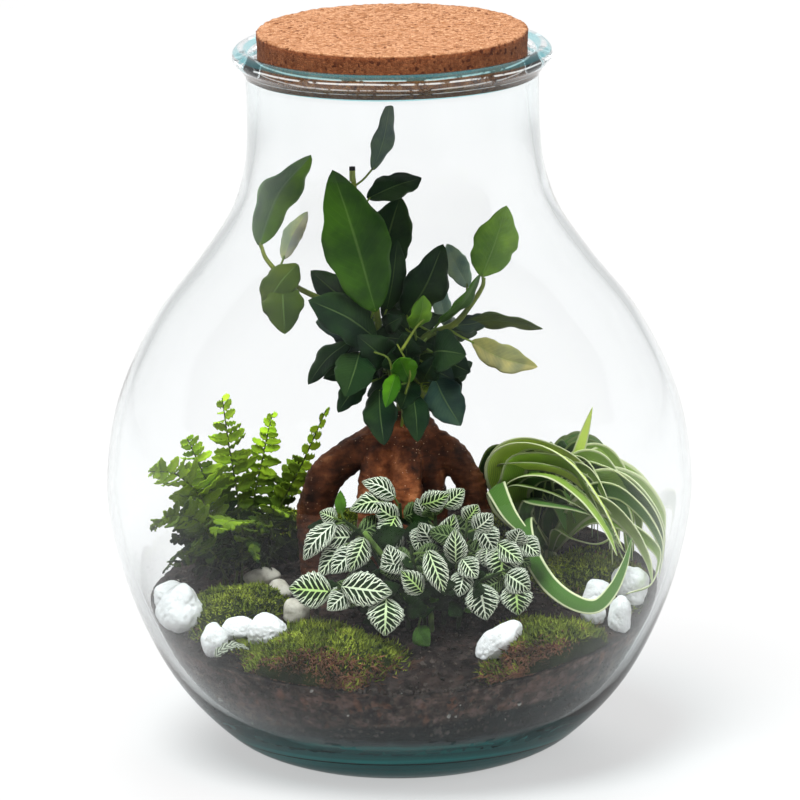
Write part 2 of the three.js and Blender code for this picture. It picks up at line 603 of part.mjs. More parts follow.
// A frond: leaflets cut to the rib along both sides of one thin arched blade.
function frond({ foot, path, leaflet, roll }) {
  const ground = soilTop(...foot);
  const start = [...foot, ground + 3];
  const steps = LEAFLET_PAIRS * 5 + 10;
  const rows = stationsOf([start, ...path], roll, steps);
  const rowAt = (t) => rows[Math.round(clamp(t, 0, 1) * steps)];
  const points = [];
  const normals = [];
  const halves = [];
  const add = (t, reach) => {
    const row = rowAt(t);
    const droop = -0.012 * reach * reach;
    points.push(row.at.clone().addScaledVector(row.side, reach).addScaledVector(row.normal, droop));
    normals.push(row.normal);
    halves.push((t < BARE_STALK ? 1.2 : LEAF_THICK) / 2);
    return points.length - 1;
  };
  const faces = [];
  const soleSide = rows[0].side.clone().setZ(0).normalize();
  const soleNormal = new THREE.Vector3(soleSide.y, -soleSide.x, 0);
  [-1, 1].forEach((way) => {
    points.push(new THREE.Vector3(...foot, ground - HOLE_DEPTH).addScaledVector(soleSide, way * RIB_HALF));
    normals.push(soleNormal);
    halves.push(0.6);
  });
  let [left, right] = [0, 1];
  const strip = (nextLeft, nextRight) => {
    faces.push([left, right, nextRight], [left, nextRight, nextLeft]);
    [left, right] = [nextLeft, nextRight];
  };
  [0, BARE_STALK / 2, BARE_STALK].forEach((t) => strip(add(t, -RIB_HALF), add(t, RIB_HALF)));
  const pitch = (1 - BARE_STALK) / LEAFLET_PAIRS;
  for (let i = 0; i < LEAFLET_PAIRS; i += 1) {
    const t = BARE_STALK + i * pitch;
    const length = leaflet * Math.min(1, 0.55 + 0.2 * i) * (1 - (i / LEAFLET_PAIRS) ** 2 * 0.8);
    const last = i === LEAFLET_PAIRS - 1;
    const [oldLeft, oldRight] = [left, right];
    const nextLeft = add(t + pitch, last ? -0.3 : -RIB_HALF);
    const nextRight = add(t + pitch, last ? 0.3 : RIB_HALF);
    strip(nextLeft, nextRight);
    const leftTips = [add(t + pitch * 0.35, -length), add(t + pitch * 0.95, -length * 0.9)];
    faces.push([leftTips[0], oldLeft, nextLeft], [leftTips[0], nextLeft, leftTips[1]]);
    const rightTips = [add(t + pitch * 0.35, length), add(t + pitch * 0.95, length * 0.9)];
    faces.push([oldRight, rightTips[0], nextRight], [rightTips[0], rightTips[1], nextRight]);
  }
  const geometry = movePoints(plate(points, normals, halves, faces), keepInside);
  return toGeometry(wholeBody(toSolid(geometry)));
}

// ---- Nerve plant --------------------------------------------------------------------------------
const nerveOutline = (t) => Math.sin(Math.PI * clamp(t, 0, 1) ** 0.82) ** 0.85;
// Each spray: foot x, y, the stem's points above the ground, then its leaves
const SPRAYS = [
  { foot: [3, -58], path: [[-4, -68, 92], [-18, -78, 99], [-30, -80, 100]], leaves: [
    [[-33, -80, 98], [-53, -80, 100], 18, 0, 0.1], [[-28, -82, 101], [-4, -84, 98], 17, 0, 0.1],
    [[-7, -82, 95], [-8, -88, 78], 18, 0, 0.15], [[-24, -77, 98], [-35, -84, 90], 12, 0, 0.12]] },
  { foot: [-3, -50], path: [[-7, -54, 98], [-18, -58, 119], [-27, -58, 127]], leaves: [
    [[-25, -60, 116], [-39, -64, 101], 13, 20, 0.1], [[-17, -62, 119], [-24, -68, 104], 13, -10, 0.15],
    [[-31, -60, 126], [-46, -60, 108], 12, 20, 0.2], [[-28, -57, 130], [-28, -56, 141], 6, 0, 0.05],
    [[-30, -56, 127], [-38, -54, 130], 9, 0, 0.1], [[-20, -60, 114], [-33, -67, 103], 13, 10, 0.12],
    [[-22, -56, 118], [-38, -60, 119], 13, 0, 0.15]] },
  { foot: [5, -36], path: [[4, -38, 100], [1, -40, 116], [0, -40, 130]], leaves: [
    [[-5, -42, 131], [-24, -44, 128], 12, 25, 0.25], [[-2, -40, 133], [-18, -40, 141], 12, 30, 0.2],
    [[-2, -44, 125], [-9, -50, 112], 13, 0, 0.15],
    [[-1, -42, 121], [-13, -47, 132], 12, 10, 0.12], [[0, -46, 108], [-9, -52, 121], 12, 0, 0.1]] },
  { foot: [11, -58], path: [[9, -66, 96], [6, -70, 108], [5, -71, 117]], leaves: [
    [[-2, -71, 104], [-6, -71, 118], 12, 0, 0.1], [[10, -73, 95], [0, -78, 107], 12, 10, 0.1],
    [[13, -72, 115], [21, -76, 94], 12, 0, 0.12],
    [[4, -68, 110], [-10, -73, 107], 12, 0, 0.1]] },
  { foot: [15, -42], path: [[16, -45, 100], [17, -46, 118], [16, -46, 131]], leaves: [
    [[10, -47, 131], [24, -50, 137], 12, 20, 0.15], [[21, -44, 129], [31, -42, 137], 11, 0, 0.1],
    [[13, -46, 125], [8, -46, 134], 9, -30, 0.1], [[12, -49, 120], [7, -53, 110], 12, 0, 0.12],
    [[20, -48, 110], [26, -50, 127], 12, 0, 0.08], [[16, -49, 111], [9, -54, 124], 12, 0, 0.1]] },
  { foot: [20, -53], path: [[24, -60, 96], [29, -62, 112], [32, -61, 123]], leaves: [
    [[26, -64, 106], [26, -66, 124], 12, 0, 0.1], [[30, -66, 103], [27, -71, 92], 12, 0, 0.15],
    [[22, -60, 98], [21, -58, 108], 9, 0, 0.1], [[31, -60, 126], [37, -60, 134], 11, 20, 0.1],
    [[35, -62, 122], [44, -62, 130], 12, 20, 0.1], [[29, -66, 109], [36, -72, 101], 12, 0, 0.12]] },
  { foot: [27, -44], path: [[35, -50, 100], [45, -55, 112], [53, -56, 116]], leaves: [
    [[38, -52, 121], [45, -58, 110], 14, 0, 0.15], [[41, -58, 112], [40, -60, 103], 11, 0, 0.12],
    [[49, -59, 113], [47, -63, 97], 18, 0, 0.12], [[54, -60, 114], [57, -64, 123], 12, 0, 0.08],
    [[57, -58, 116], [66, -66, 110], 12, 0, 0.12], [[46, -57, 114], [58, -68, 107], 12, 0, 0.12]] },
  { foot: [27, -58], path: [[32, -66, 94], [42, -70, 101], [52, -69, 104]], leaves: [
    [[50, -72, 103], [61, -72, 95], 14, 0, 0.12], [[54, -70, 98], [55, -73, 83], 16, 0, 0.15],
    [[37, -71, 98], [40, -74, 81], 17, 0, 0.15], [[30, -62, 87], [36, -69, 84], 8, 0, 0.1]] },
];
const NERVE_STEPS = 3;

function spray({ foot, path, leaves }) {
  const start = [...foot, soilTop(...foot) + 3];
  const main = { path: [start, ...path], start: 1.2, end: 0.8, steps: 3, foot: HOLE_DEPTH + 3 };
  return shoot([main], leaves, NERVE_STEPS, 0, nerveOutline, 4);
}

// ---- Spider plant -------------------------------------------------------------------------------
const SPIDER_FOOT = [72, 22];
// Leaf paths from the crown, then width, roll and twist
const STRAPS = [
  [[[73, 22, 94], [82, 20, 122], [89, 14, 146], [94, 8, 164]], 7, 0, 0],
  [[[70, 20, 92], [51, 10, 120], [48, 3, 139], [57, -5, 149], [71, -12, 149], [85, -21, 141],
    [97, -32, 125], [106, -42, 106]], 16, 0, 0],
  [[[70, 20, 91], [55, 2, 123], [60, -10, 135], [74, -20, 137], [88, -29, 128], [98, -38, 115],
    [103, -46, 104]], 12, 0, 0],
  [[[71, 24, 92], [51, 24, 118], [50, 18, 138], [62, 14, 145], [80, 8, 141], [96, 4, 130]], 15, 0, 0],
  [[[69, 18, 91], [50, -2, 118], [46, -14, 131], [53, -28, 120], [66, -36, 107]], 12, 0, 0],
  [[[71, 19, 90], [61, -20, 116], [61, -46, 108], [69, -60, 96], [80, -70, 89], [91, -73, 87],
    [99, -71, 94], [105, -67, 105], [109, -62, 117]], 9, 0, 0],
  [[[74, 21, 91], [88, 14, 128], [100, 5, 132], [114, -5, 125], [124, -16, 112],
    [128, -26, 95]], 12, 0, 0],
  [[[74, 20, 90], [90, 6, 120], [104, -3, 125], [116, -11, 117], [125, -22, 103],
    [127, -31, 89]], 10, 0, 0],
  [[[74, 23, 91], [92, 27, 126], [110, 28, 125], [123, 24, 112], [131, 18, 99]], 14, 0, 0],
  [[[74, 20, 90], [92, 4, 110], [110, -8, 108], [124, -22, 98], [120, -33, 87],
    [107, -41, 84]], 8, 0, 0],
  [[[73, 18, 90], [76, -4, 106], [84, -14, 104], [95, -20, 103], [104, -22, 108]], 6, 0, 0],
  [[[74, 23, 91], [96, 38, 118], [118, 48, 110], [126, 48, 92]], 12, 0, 0],
  [[[70, 23, 91], [60, 30, 124], [52, 38, 133], [44, 46, 124]], 11, 0, 0],
  [[[72, 25, 91], [78, 46, 120], [86, 64, 118], [92, 76, 98]], 11, 0, 0],
  [[[73, 24, 91], [92, 52, 120], [106, 62, 104]], 11, 0, 0],
  [[[72, 22, 92], [82, 18, 122], [98, 22, 137], [108, 26, 130]], 11, 0, 0],
];

function strap([path, width, roll, twist]) {
  const rows = stationsOf(path, roll, path.length, twist);
  const half = (t) => width / 2 * (0.45 + 0.55 * smoothstep(t, 0, 0.3)) * (1 - 0.93 * t ** 3);
  return blade(rows, half, 0, () => LEAF_THICK);
}

function spiderPlant() {
  const [x, y] = SPIDER_FOOT;
  const ground = soilTop(x, y);
  const crown = stem([[x, y, ground + 1], [x, y, ground + 6],
    [x, y, ground + 11]], 4.6, 3, 2, HOLE_DEPTH + 1, 7);
  return fused([crown, ...STRAPS.map(strap)]);
}

// ---- Fallen leaf --------------------------------------------------------------------------------
function fallenLeaf() {
  const path = [[-90, -83], [-84, -82], [-78, -80.8], [-72, -80.8]];
  const lift = [5, 8, 8, 5];
  const points = path.map(([x, y], i) => [x, y, soilTop(x, y) + lift[i]]);
  const rows = stationsOf(points, -70, 6);
  return blade(rows, (t) => 0.6 + 4.6 * nerveOutline(t), 0, () => LEAF_THICK);
}

// ---- Assembly -----------------------------------------------------------------------------------
const terrarium = new THREE.Group();
function place(name, geometry, material) {
  const mesh = new THREE.Mesh(geometry, material);
  mesh.name = name;
  terrarium.add(mesh);
}

const numbered = (word, i) => `${word}_${String(i + 1).padStart(2, '0')}`;

place('glass_jar', toGeometry(toSolid(jar())), GLASS);
place('cork_stopper', toGeometry(toSolid(cork())), CORK);
place('drainage_gravel', toGeometry(toSolid(gravel())), GRAVEL);

const holes = [
  ...ROOTS.map((root) => {
    const [x, y] = root.path[root.path.length - 1];
    return hole(x, y, root.end * 1.06 + GAP + 0.3, ROOT_SIDES);
  }),
  ...FRONDS.map(({ foot }) => hole(...foot, FERN_HOLE)),
  ...SPRAYS.map(({ foot }) => hole(...foot, 2.1)),
  hole(...SPIDER_FOOT, 4.6 + GAP + 0.2, 7),
];
const stoneRoom = joined(STONES.map((row) => stone(row, GAP)));
const stemRoom = joined(holes);
place('soil', toGeometry(wholeBody(toSolid(soilMound()).subtract(stemRoom))), SOIL);

CUSHIONS.forEach((row) => {
  const dome = toSolid(cushion(row)).subtract(stoneRoom).subtract(stemRoom);
  place(row[0], toGeometry(wholeBody(dome)), MOSS);
});
STONES.forEach((row) => {
  place(row[0], toGeometry(toSolid(stone(row))), row[0].startsWith('white') ? WHITE_STONE : GREY_STONE);
});

place('ficus_trunk', ficusTrunk(), BARK);
[['left', LEFT_SHOOT], ['right', RIGHT_SHOOT],
  ['front', FRONT_SHOOT]].forEach(([name, { stems, leaves }]) => {
  place(`ficus_shoot_${name}`, shoot(stems, leaves, FICUS_STEPS, FICUS_FOLD, ficusOutline), FICUS_LEAF);
});
FRONDS.forEach((row, i) => place(numbered('fern_frond', i), frond(row), FERN_LEAF));
SPRAYS.forEach((row, i) => place(numbered('nerve_spray', i), spray(row), NERVE_LEAF));
place('spider_plant', spiderPlant(), SPIDER_LEAF);
place('fallen_leaf', fallenLeaf(), DRY_LEAF);

export default terrarium;
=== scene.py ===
import math
import random
import bmesh
import bpy
import numpy as np
from mathutils import Matrix, Vector, noise


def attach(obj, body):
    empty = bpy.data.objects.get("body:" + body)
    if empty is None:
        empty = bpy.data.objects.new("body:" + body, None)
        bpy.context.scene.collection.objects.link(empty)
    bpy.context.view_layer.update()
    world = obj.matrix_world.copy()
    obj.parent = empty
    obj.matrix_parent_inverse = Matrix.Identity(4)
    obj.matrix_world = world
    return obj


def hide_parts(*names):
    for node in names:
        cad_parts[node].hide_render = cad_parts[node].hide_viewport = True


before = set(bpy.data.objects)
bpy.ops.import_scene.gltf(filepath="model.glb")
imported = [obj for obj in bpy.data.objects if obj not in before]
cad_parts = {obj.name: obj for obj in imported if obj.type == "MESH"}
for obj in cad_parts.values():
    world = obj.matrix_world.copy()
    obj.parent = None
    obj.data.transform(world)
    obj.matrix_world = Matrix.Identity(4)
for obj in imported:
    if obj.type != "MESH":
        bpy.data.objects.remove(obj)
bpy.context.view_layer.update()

MM = 0.001

# ---- Sizes shared with the solids ---------------------------------------------------------------
SEGMENTS = 28
FOOT_RADIUS = 64
JAR_OUTLINE = [
    [FOOT_RADIUS, 0], [84, 10], [109.5, 37], [129, 75], [139.5, 115], [140, 145], [133, 178],
    [116.5, 212], [94.5, 241], [79, 264], [72, 285], [70, 305], [70, 332],
]
FOOT_INNER = 52
PUNT = 3
FLOOR = 11
FLOOR_RADIUS = 46
WALL = 4
WALL_FOOT = 5
WALL_NECK = 2
RIM_RADIUS = 72.3
RIM_HEIGHT = 341
RIM_BEAD = 4.2
CORK_TOP = 353
CORK_BOTTOM = 333
CORK_TOP_RADIUS = 65
CORK_BOTTOM_RADIUS = 64.5
GRAVEL_TOP = 30.5
SOIL_BACK = 86
SOIL_FALL = 28
GAP = 0.4
SEAT_GAP = 0.6
HOLE_DEPTH = 9
STALK_THICK = 1.3
WALL_CLEAR = 1.2
WALL_SOFTNESS = 5
STONE_SINK = 0.2
SHOOT_FOOT = 4
SHOOT_RADIUS = 2.5
BARE_STALK = 0.2
SPIDER_FOOT = [72, 22]

# ---- Lists shared with the solids --------------------------------------------------------------
# name, x, y, half sizes, turn about Z, lean about Y, seed
STONES = [
  ["white_stone_1", -105, -37, 11, 11.5, 12.5, 20, 0, 1],
  ["white_stone_2", -112, -12, 8, 9, 7, 0, 0, 2],
  ["white_stone_3", -88, -70, 6.5, 7, 9.5, 0, -8, 3],
  ["white_stone_4", -77, -58, 8.5, 6, 6, 10, 0, 4],
  ["white_stone_5", -64, -68, 9.5, 8, 8.5, 0, 10, 5],
  ["white_stone_6", 46, -83, 12.5, 8, 8, 0, -42, 6],
  ["white_stone_7", 94, -31, 7, 7, 7, 0, 0, 7],
  ["white_stone_8", 110, -24, 8.5, 9.5, 10.5, 0, 0, 8],
  ["white_stone_9", 91, -51, 5.6, 6, 8, 0, 0, 9],
  ["white_stone_10", 103, -54, 5.6, 6.5, 9, 0, 8, 10],
  ["grey_stone_1", -67, -6, 9, 7, 5.5, 15, 0, 11],
  ["grey_stone_2", -59, -21, 7, 6, 4.8, 0, 0, 12],
  ["grey_stone_3", -50, -47, 6.6, 6, 6.2, 0, 0, 13],
  ["speckled_stone", 81, -37, 5.5, 5.5, 4.5, 0, 0, 14],
]
# name, x, y, half length, half width, height, turn, seed
CUSHIONS = [
  ["moss_left", -79, -36, 22, 15, 12, 0, 1],
  ["moss_front_left", -40, -92, 33, 20, 12, 12, 2],
  ["moss_front_right", 73, -84, 27, 18, 11, 25, 3],
  ["moss_right", 88, -8, 22, 14, 10, 0, 4],
  ["moss_back_left", -38, 78, 30, 20, 9, -20, 5],
  ["moss_back_right", 52, 74, 26, 18, 9, 25, 6],
]
# Roots from the crown to the ground: points, start radius, end radius
ROOTS = [
  { "path": [[-4, 6, 151], [-22, 2, 144], [-35, -2, 134], [-41, -5, 118], [-42, -8, 98],
    [-41, -9, 88]], "start": 9.5, "end": 7 },
  { "path": [[-6, 2, 149], [-11, -7, 140], [-14, -14, 124], [-15, -19, 106],
    [-15, -21, 88]], "start": 7.5, "end": 5.5 },
  { "path": [[4, 0, 150], [3, -9, 138], [4, -16, 122], [5, -20, 104], [5, -21, 88]],
    "start": 8.5, "end": 6 },
  { "path": [[11, 4, 150], [14, 1, 138], [17, 0, 122], [18, -1, 104], [18, -1, 88]],
    "start": 7.5, "end": 5.5 },
  { "path": [[12, 6, 149], [23, 4, 143], [32, 0, 134], [37, -4, 118], [38, -7, 102],
    [38, -8, 88]], "start": 8.5, "end": 6.5 },
  { "path": [[2, 10, 149], [0, 22, 138], [-4, 31, 118], [-5, 35, 100], [-5, 36, 88]],
    "start": 8.5, "end": 6 },
]
CROWN = [[-15, 6, 146], [-6, 6, 151], [8, 6, 153], [17, 6, 148]]
# Leaves: base, tip, width, roll, arch
LEFT_SHOOT = {
  "stems": [
    { "path": [[1, 10, 160], [1, 10, 170], [-4, 8, 184], [-9, 4, 196], [-9, 4, 208], [-13, 8, 234],
      [-18, 10, 263], [-20, 10, 285]],
      "start": SHOOT_RADIUS, "end": 1.5, "foot": SHOOT_FOOT },
    { "path": [[-9, 4, 200], [-29, -6, 218], [-50, -10, 231], [-61, -8, 242], [-64, -8, 250]],
      "start": 1.8, "end": 1.1, "foot": 0 },
  ],
  "leaves": [
    [[-10, -13, 217], [-29, -22, 291], 32, 8, 0.04],
    [[-13, 7, 270], [13, -4, 283], 17, 25, -0.1],
    [[-8, 15, 226], [3, 25, 267], 24, -10, 0.1],
    [[-10, 10, 285], [-1, 8, 317], 12, 45, 0.05],
    [[-5, 7, 212], [1, 2, 249], 14, 10, 0.1],
    [[-65, -9, 250], [-39, -14, 297], 24, 40, -0.13],
    [[-54, 4, 240], [-42, 12, 262], 12, -30, 0.1],
    [[-47, -12, 241], [-63, -22, 220], 17, 20, 0.15],
    [[-54, -17, 232], [-53, -34, 212], 20, 0, 0.15],
    [[-10, -8, 203], [-42, -20, 225], 24, 25, 0.1],
    [[-11, 6, 212], [-41, 4, 234], 21, -25, 0.12],
    [[-22, 6, 199], [-43, -4, 180], 14, 40, 0.12],
    [[-18, -14, 198], [-25, -30, 180], 20, -5, 0.15],
    [[-16, -2, 180], [-29, -12, 168], 12, 30, 0.12],
    [[-22, 14, 196], [-37, 22, 178], 11, -30, 0.12],
    [[-1, -4, 192], [-19, -18, 207], 17, -20, 0.15],
    [[4, 16, 186], [16, 30, 203], 16, 10, 0.15],
  ],
}
RIGHT_SHOOT = {
  "stems": [
    { "path": [[13, 7, 163], [11, 5, 173], [8, 3, 186], [13, 0, 201], [27, 0, 207], [35, -2, 216],
      [41, -4, 226], [42, -5, 231]],
      "start": SHOOT_RADIUS - 0.2, "end": 1.1, "foot": SHOOT_FOOT },
  ],
  "leaves": [
    [[4, 8, 209], [23, 4, 246], 22, 25, 0.1],
    [[8, -10, 208], [13, -18, 226], 13, 35, 0.12],
    [[41, -6, 232], [53, -14, 269], 22, 15, 0.08],
    [[35, 16, 222], [25, 26, 241], 12, -10, 0.1],
    [[24, 14, 203], [18, 26, 226], 10, 10, 0.1],
    [[20, -4, 209], [40, -10, 234], 12, 62, 0.1],
    [[31, 2, 208], [70, -6, 206], 13, 64, -0.06],
    [[36, -4, 200], [67, -16, 190], 15, 30, 0.12],
    [[22, 9, 203], [39, 18, 199], 10, 10, 0.1],
    [[18, -8, 183], [30, -22, 163], 20, 10, 0.15],
    [[17, -8, 196], [33, -26, 199], 21, -10, 0.2],
    [[27, 8, 184], [32, 4, 165], 11, 56, 0.1],
    [[16, 14, 192], [27, 27, 176], 17, 10, 0.15],
    [[4, -3, 190], [3, -19, 208], 14, 15, 0.12],
  ],
}
FRONT_SHOOT = {
  "stems": [
    { "path": [[4, -1, 159], [3, -7, 168], [1, -12, 178], [-1, -18, 188]],
      "start": SHOOT_RADIUS - 0.4, "end": 1.2, "foot": SHOOT_FOOT - 1 },
  ],
  "leaves": [
    [[-9, -17, 181], [-7, -30, 156], 17, 8, 0.15],
    [[-1, -22, 189], [-6, -36, 176], 9, 0, 0.12],
    [[7, -15, 178], [9, -29, 157], 14, -8, 0.15],
    [[6, -17, 184], [1, -30, 199], 13, 0, -0.1],
  ],
}
# Foot x, y, then the points of the arching rib, leaflet length and roll
FRONDS = [
  { "foot": [-79, 24], "path": [[-79, 24, 117], [-82, 22, 143], [-85, 14, 170]],
    "leaflet": 13, "roll": 10 },
  { "foot": [-73, 28], "path": [[-71, 31, 115], [-66, 34, 136], [-61, 37, 156]],
    "leaflet": 11, "roll": -15 },
  { "foot": [-69, 17], "path": [[-58, 18, 114], [-47, 17, 136], [-35, 13, 163]],
    "leaflet": 8, "roll": 20 },
  { "foot": [-84, 16], "path": [[-87, 12, 114], [-95, 5, 136], [-102, 0, 154]],
    "leaflet": 14, "roll": -8 },
  { "foot": [-86, 10], "path": [[-92, 2, 117], [-106, -7, 137], [-120, -13, 141]],
    "leaflet": 16, "roll": -12 },
  { "foot": [-86, 3], "path": [[-94, -10, 112], [-108, -20, 121], [-119, -27, 116]],
    "leaflet": 15, "roll": -12 },
  { "foot": [-84, -2], "path": [[-92, -18, 103], [-104, -31, 106], [-113, -38, 98]],
    "leaflet": 12, "roll": -14 },
  { "foot": [-77, 0], "path": [[-76, -14, 112], [-81, -26, 119], [-89, -37, 116]],
    "leaflet": 12, "roll": -20 },
  { "foot": [-70, 8], "path": [[-64, 2, 108], [-60, -4, 119], [-55, -12, 118]],
    "leaflet": 11, "roll": 15 },
  { "foot": [-70, 32], "path": [[-61, 44, 110], [-52, 54, 123], [-46, 62, 126]],
    "leaflet": 11, "roll": 0 },
  { "foot": [-78, 36], "path": [[-87, 48, 113], [-94, 57, 122], [-98, 64, 116]],
    "leaflet": 10, "roll": 0 },
  { "foot": [-80, -9], "path": [[-76, -16, 106], [-71, -24, 107], [-69, -33, 101]],
    "leaflet": 7, "roll": 20 },
]
# Each spray: foot x, y, the stem's points above the ground, then its leaves
SPRAYS = [
  { "foot": [3, -58], "path": [[-4, -68, 92], [-18, -78, 99], [-30, -80, 100]], "leaves": [
    [[-33, -80, 98], [-53, -80, 100], 18, 0, 0.1], [[-28, -82, 101], [-4, -84, 98], 17, 0, 0.1],
    [[-7, -82, 95], [-8, -88, 78], 18, 0, 0.15], [[-24, -77, 98], [-35, -84, 90], 12, 0, 0.12]] },
  { "foot": [-3, -50], "path": [[-7, -54, 98], [-18, -58, 119], [-27, -58, 127]], "leaves": [
    [[-25, -60, 116], [-39, -64, 101], 13, 20, 0.1],
    [[-17, -62, 119], [-24, -68, 104], 13, -10, 0.15],
    [[-31, -60, 126], [-46, -60, 108], 12, 20, 0.2], [[-28, -57, 130], [-28, -56, 141], 6, 0, 0.05],
    [[-30, -56, 127], [-38, -54, 130], 9, 0, 0.1], [[-20, -60, 114], [-33, -67, 103], 13, 10, 0.12],
    [[-22, -56, 118], [-38, -60, 119], 13, 0, 0.15]] },
  { "foot": [5, -36], "path": [[4, -38, 100], [1, -40, 116], [0, -40, 130]], "leaves": [
    [[-5, -42, 131], [-24, -44, 128], 12, 25, 0.25], [[-2, -40, 133], [-18, -40, 141], 12, 30, 0.2],
    [[-2, -44, 125], [-9, -50, 112], 13, 0, 0.15],
    [[-1, -42, 121], [-13, -47, 132], 12, 10, 0.12], [[0, -46, 108], [-9, -52, 121], 12, 0, 0.1]] },
  { "foot": [11, -58], "path": [[9, -66, 96], [6, -70, 108], [5, -71, 117]], "leaves": [
    [[-2, -71, 104], [-6, -71, 118], 12, 0, 0.1], [[10, -73, 95], [0, -78, 107], 12, 10, 0.1],
    [[13, -72, 115], [21, -76, 94], 12, 0, 0.12],
    [[4, -68, 110], [-10, -73, 107], 12, 0, 0.1]] },
  { "foot": [15, -42], "path": [[16, -45, 100], [17, -46, 118], [16, -46, 131]], "leaves": [
    [[10, -47, 131], [24, -50, 137], 12, 20, 0.15], [[21, -44, 129], [31, -42, 137], 11, 0, 0.1],
    [[13, -46, 125], [8, -46, 134], 9, -30, 0.1], [[12, -49, 120], [7, -53, 110], 12, 0, 0.12],
    [[20, -48, 110], [26, -50, 127], 12, 0, 0.08], [[16, -49, 111], [9, -54, 124], 12, 0, 0.1]] },
  { "foot": [20, -53], "path": [[24, -60, 96], [29, -62, 112], [32, -61, 123]], "leaves": [
    [[26, -64, 106], [26, -66, 124], 12, 0, 0.1], [[30, -66, 103], [27, -71, 92], 12, 0, 0.15],
    [[22, -60, 98], [21, -58, 108], 9, 0, 0.1], [[31, -60, 126], [37, -60, 134], 11, 20, 0.1],
    [[35, -62, 122], [44, -62, 130], 12, 20, 0.1], [[29, -66, 109], [36, -72, 101], 12, 0, 0.12]] },
  { "foot": [27, -44], "path": [[35, -50, 100], [45, -55, 112], [53, -56, 116]], "leaves": [
    [[38, -52, 121], [45, -58, 110], 14, 0, 0.15], [[41, -58, 112], [40, -60, 103], 11, 0, 0.12],
    [[49, -59, 113], [47, -63, 97], 18, 0, 0.12], [[54, -60, 114], [57, -64, 123], 12, 0, 0.08],
    [[57, -58, 116], [66, -66, 110], 12, 0, 0.12], [[46, -57, 114], [58, -68, 107], 12, 0, 0.12]] },
  { "foot": [27, -58], "path": [[32, -66, 94], [42, -70, 101], [52, -69, 104]], "leaves": [
    [[50, -72, 103], [61, -72, 95], 14, 0, 0.12], [[54, -70, 98], [55, -73, 83], 16, 0, 0.15],
    [[37, -71, 98], [40, -74, 81], 17, 0, 0.15], [[30, -62, 87], [36, -69, 84], 8, 0, 0.1]] },
]
# Leaf paths from the crown, then width, roll and twist
STRAPS = [
  [[[73, 22, 94], [82, 20, 122], [89, 14, 146], [94, 8, 164]], 7, 0, 0],
  [[[70, 20, 92], [51, 10, 120], [48, 3, 139], [57, -5, 149], [71, -12, 149], [85, -21, 141],
    [97, -32, 125], [106, -42, 106]], 16, 0, 0],
  [[[70, 20, 91], [55, 2, 123], [60, -10, 135], [74, -20, 137], [88, -29, 128], [98, -38, 115],
    [103, -46, 104]], 12, 0, 0],
  [[[71, 24, 92], [51, 24, 118], [50, 18, 138], [62, 14, 145], [80, 8, 141],
    [96, 4, 130]], 15, 0, 0],
  [[[69, 18, 91], [50, -2, 118], [46, -14, 131], [53, -28, 120], [66, -36, 107]], 12, 0, 0],
  [[[71, 19, 90], [61, -20, 116], [61, -46, 108], [69, -60, 96], [80, -70, 89], [91, -73, 87],
    [99, -71, 94], [105, -67, 105], [109, -62, 117]], 9, 0, 0],
  [[[74, 21, 91], [88, 14, 128], [100, 5, 132], [114, -5, 125], [124, -16, 112],
    [128, -26, 95]], 12, 0, 0],
  [[[74, 20, 90], [90, 6, 120], [104, -3, 125], [116, -11, 117], [125, -22, 103],
    [127, -31, 89]], 10, 0, 0],
  [[[74, 23, 91], [92, 27, 126], [110, 28, 125], [123, 24, 112], [131, 18, 99]], 14, 0, 0],
  [[[74, 20, 90], [92, 4, 110], [110, -8, 108], [124, -22, 98], [120, -33, 87],
    [107, -41, 84]], 8, 0, 0],
  [[[73, 18, 90], [76, -4, 106], [84, -14, 104], [95, -20, 103], [104, -22, 108]], 6, 0, 0],
  [[[74, 23, 91], [96, 38, 118], [118, 48, 110], [126, 48, 92]], 12, 0, 0],
  [[[70, 23, 91], [60, 30, 124], [52, 38, 133], [44, 46, 124]], 11, 0, 0],
  [[[72, 25, 91], [78, 46, 120], [86, 64, 118], [92, 76, 98]], 11, 0, 0],
  [[[73, 24, 91], [92, 52, 120], [106, 62, 104]], 11, 0, 0],
  [[[72, 22, 92], [82, 18, 122], [98, 22, 137], [108, 26, 130]], 11, 0, 0],
]
# ---- End of the shared lists -------------------------------------------------------------------

# ---- Curves and surfaces ------------------------------------------------------------------------
FRONT = np.array([0, -0.97, 0.24])  # towards the photograph's viewpoint
UP = np.array([0, 0, 1.0])


def unit(v):
    return v / np.linalg.norm(v)


def lerp(a, b, t):
    return a + (b - a) * t


def smoothstep(x, low, high):
    t = np.clip((x - low) / (high - low), 0, 1)
    return t * t * (3 - 2 * t)


def arrays(points):
    return [np.array(p, float) for p in points]


def spline(p0, p1, p2, p3, w):
    """Catmull-Rom curve at the share w of the way from p1 to p2."""
    m1, m2 = (p2 - p0) / 2, (p3 - p1) / 2
    return (p1 + m1 * w + (-3 * p1 + 3 * p2 - 2 * m1 - m2) * w ** 2
            + (2 * p1 - 2 * p2 + m1 + m2) * w ** 3)


def curve_point(points, t):
    """Point at t on the curve through the points."""
    count = len(points)
    place = (count - 1) * min(max(t, 0), 1)
    i = min(int(place), count - 2)
    before = points[i - 1] if i > 0 else 2 * points[0] - points[1]
    after = points[i + 2] if i + 2 < count else 2 * points[-1] - points[-2]
    return spline(before, points[i], points[i + 1], after, place - i)


def tangent(points, t):
    d = 1e-4
    return unit(curve_point(points, min(t + d, 1)) - curve_point(points, max(t - d, 0)))


def turned_about(v, axis, degrees):
    a = math.radians(degrees)
    return (v * math.cos(a) + np.cross(axis, v) * math.sin(a)
            + axis * np.dot(axis, v) * (1 - math.cos(a)))


def sideways(along, roll):
    forward = unit(along)
    facing = unit(FRONT - forward * np.dot(FRONT, forward))
    return turned_about(np.cross(forward, facing), forward, roll)


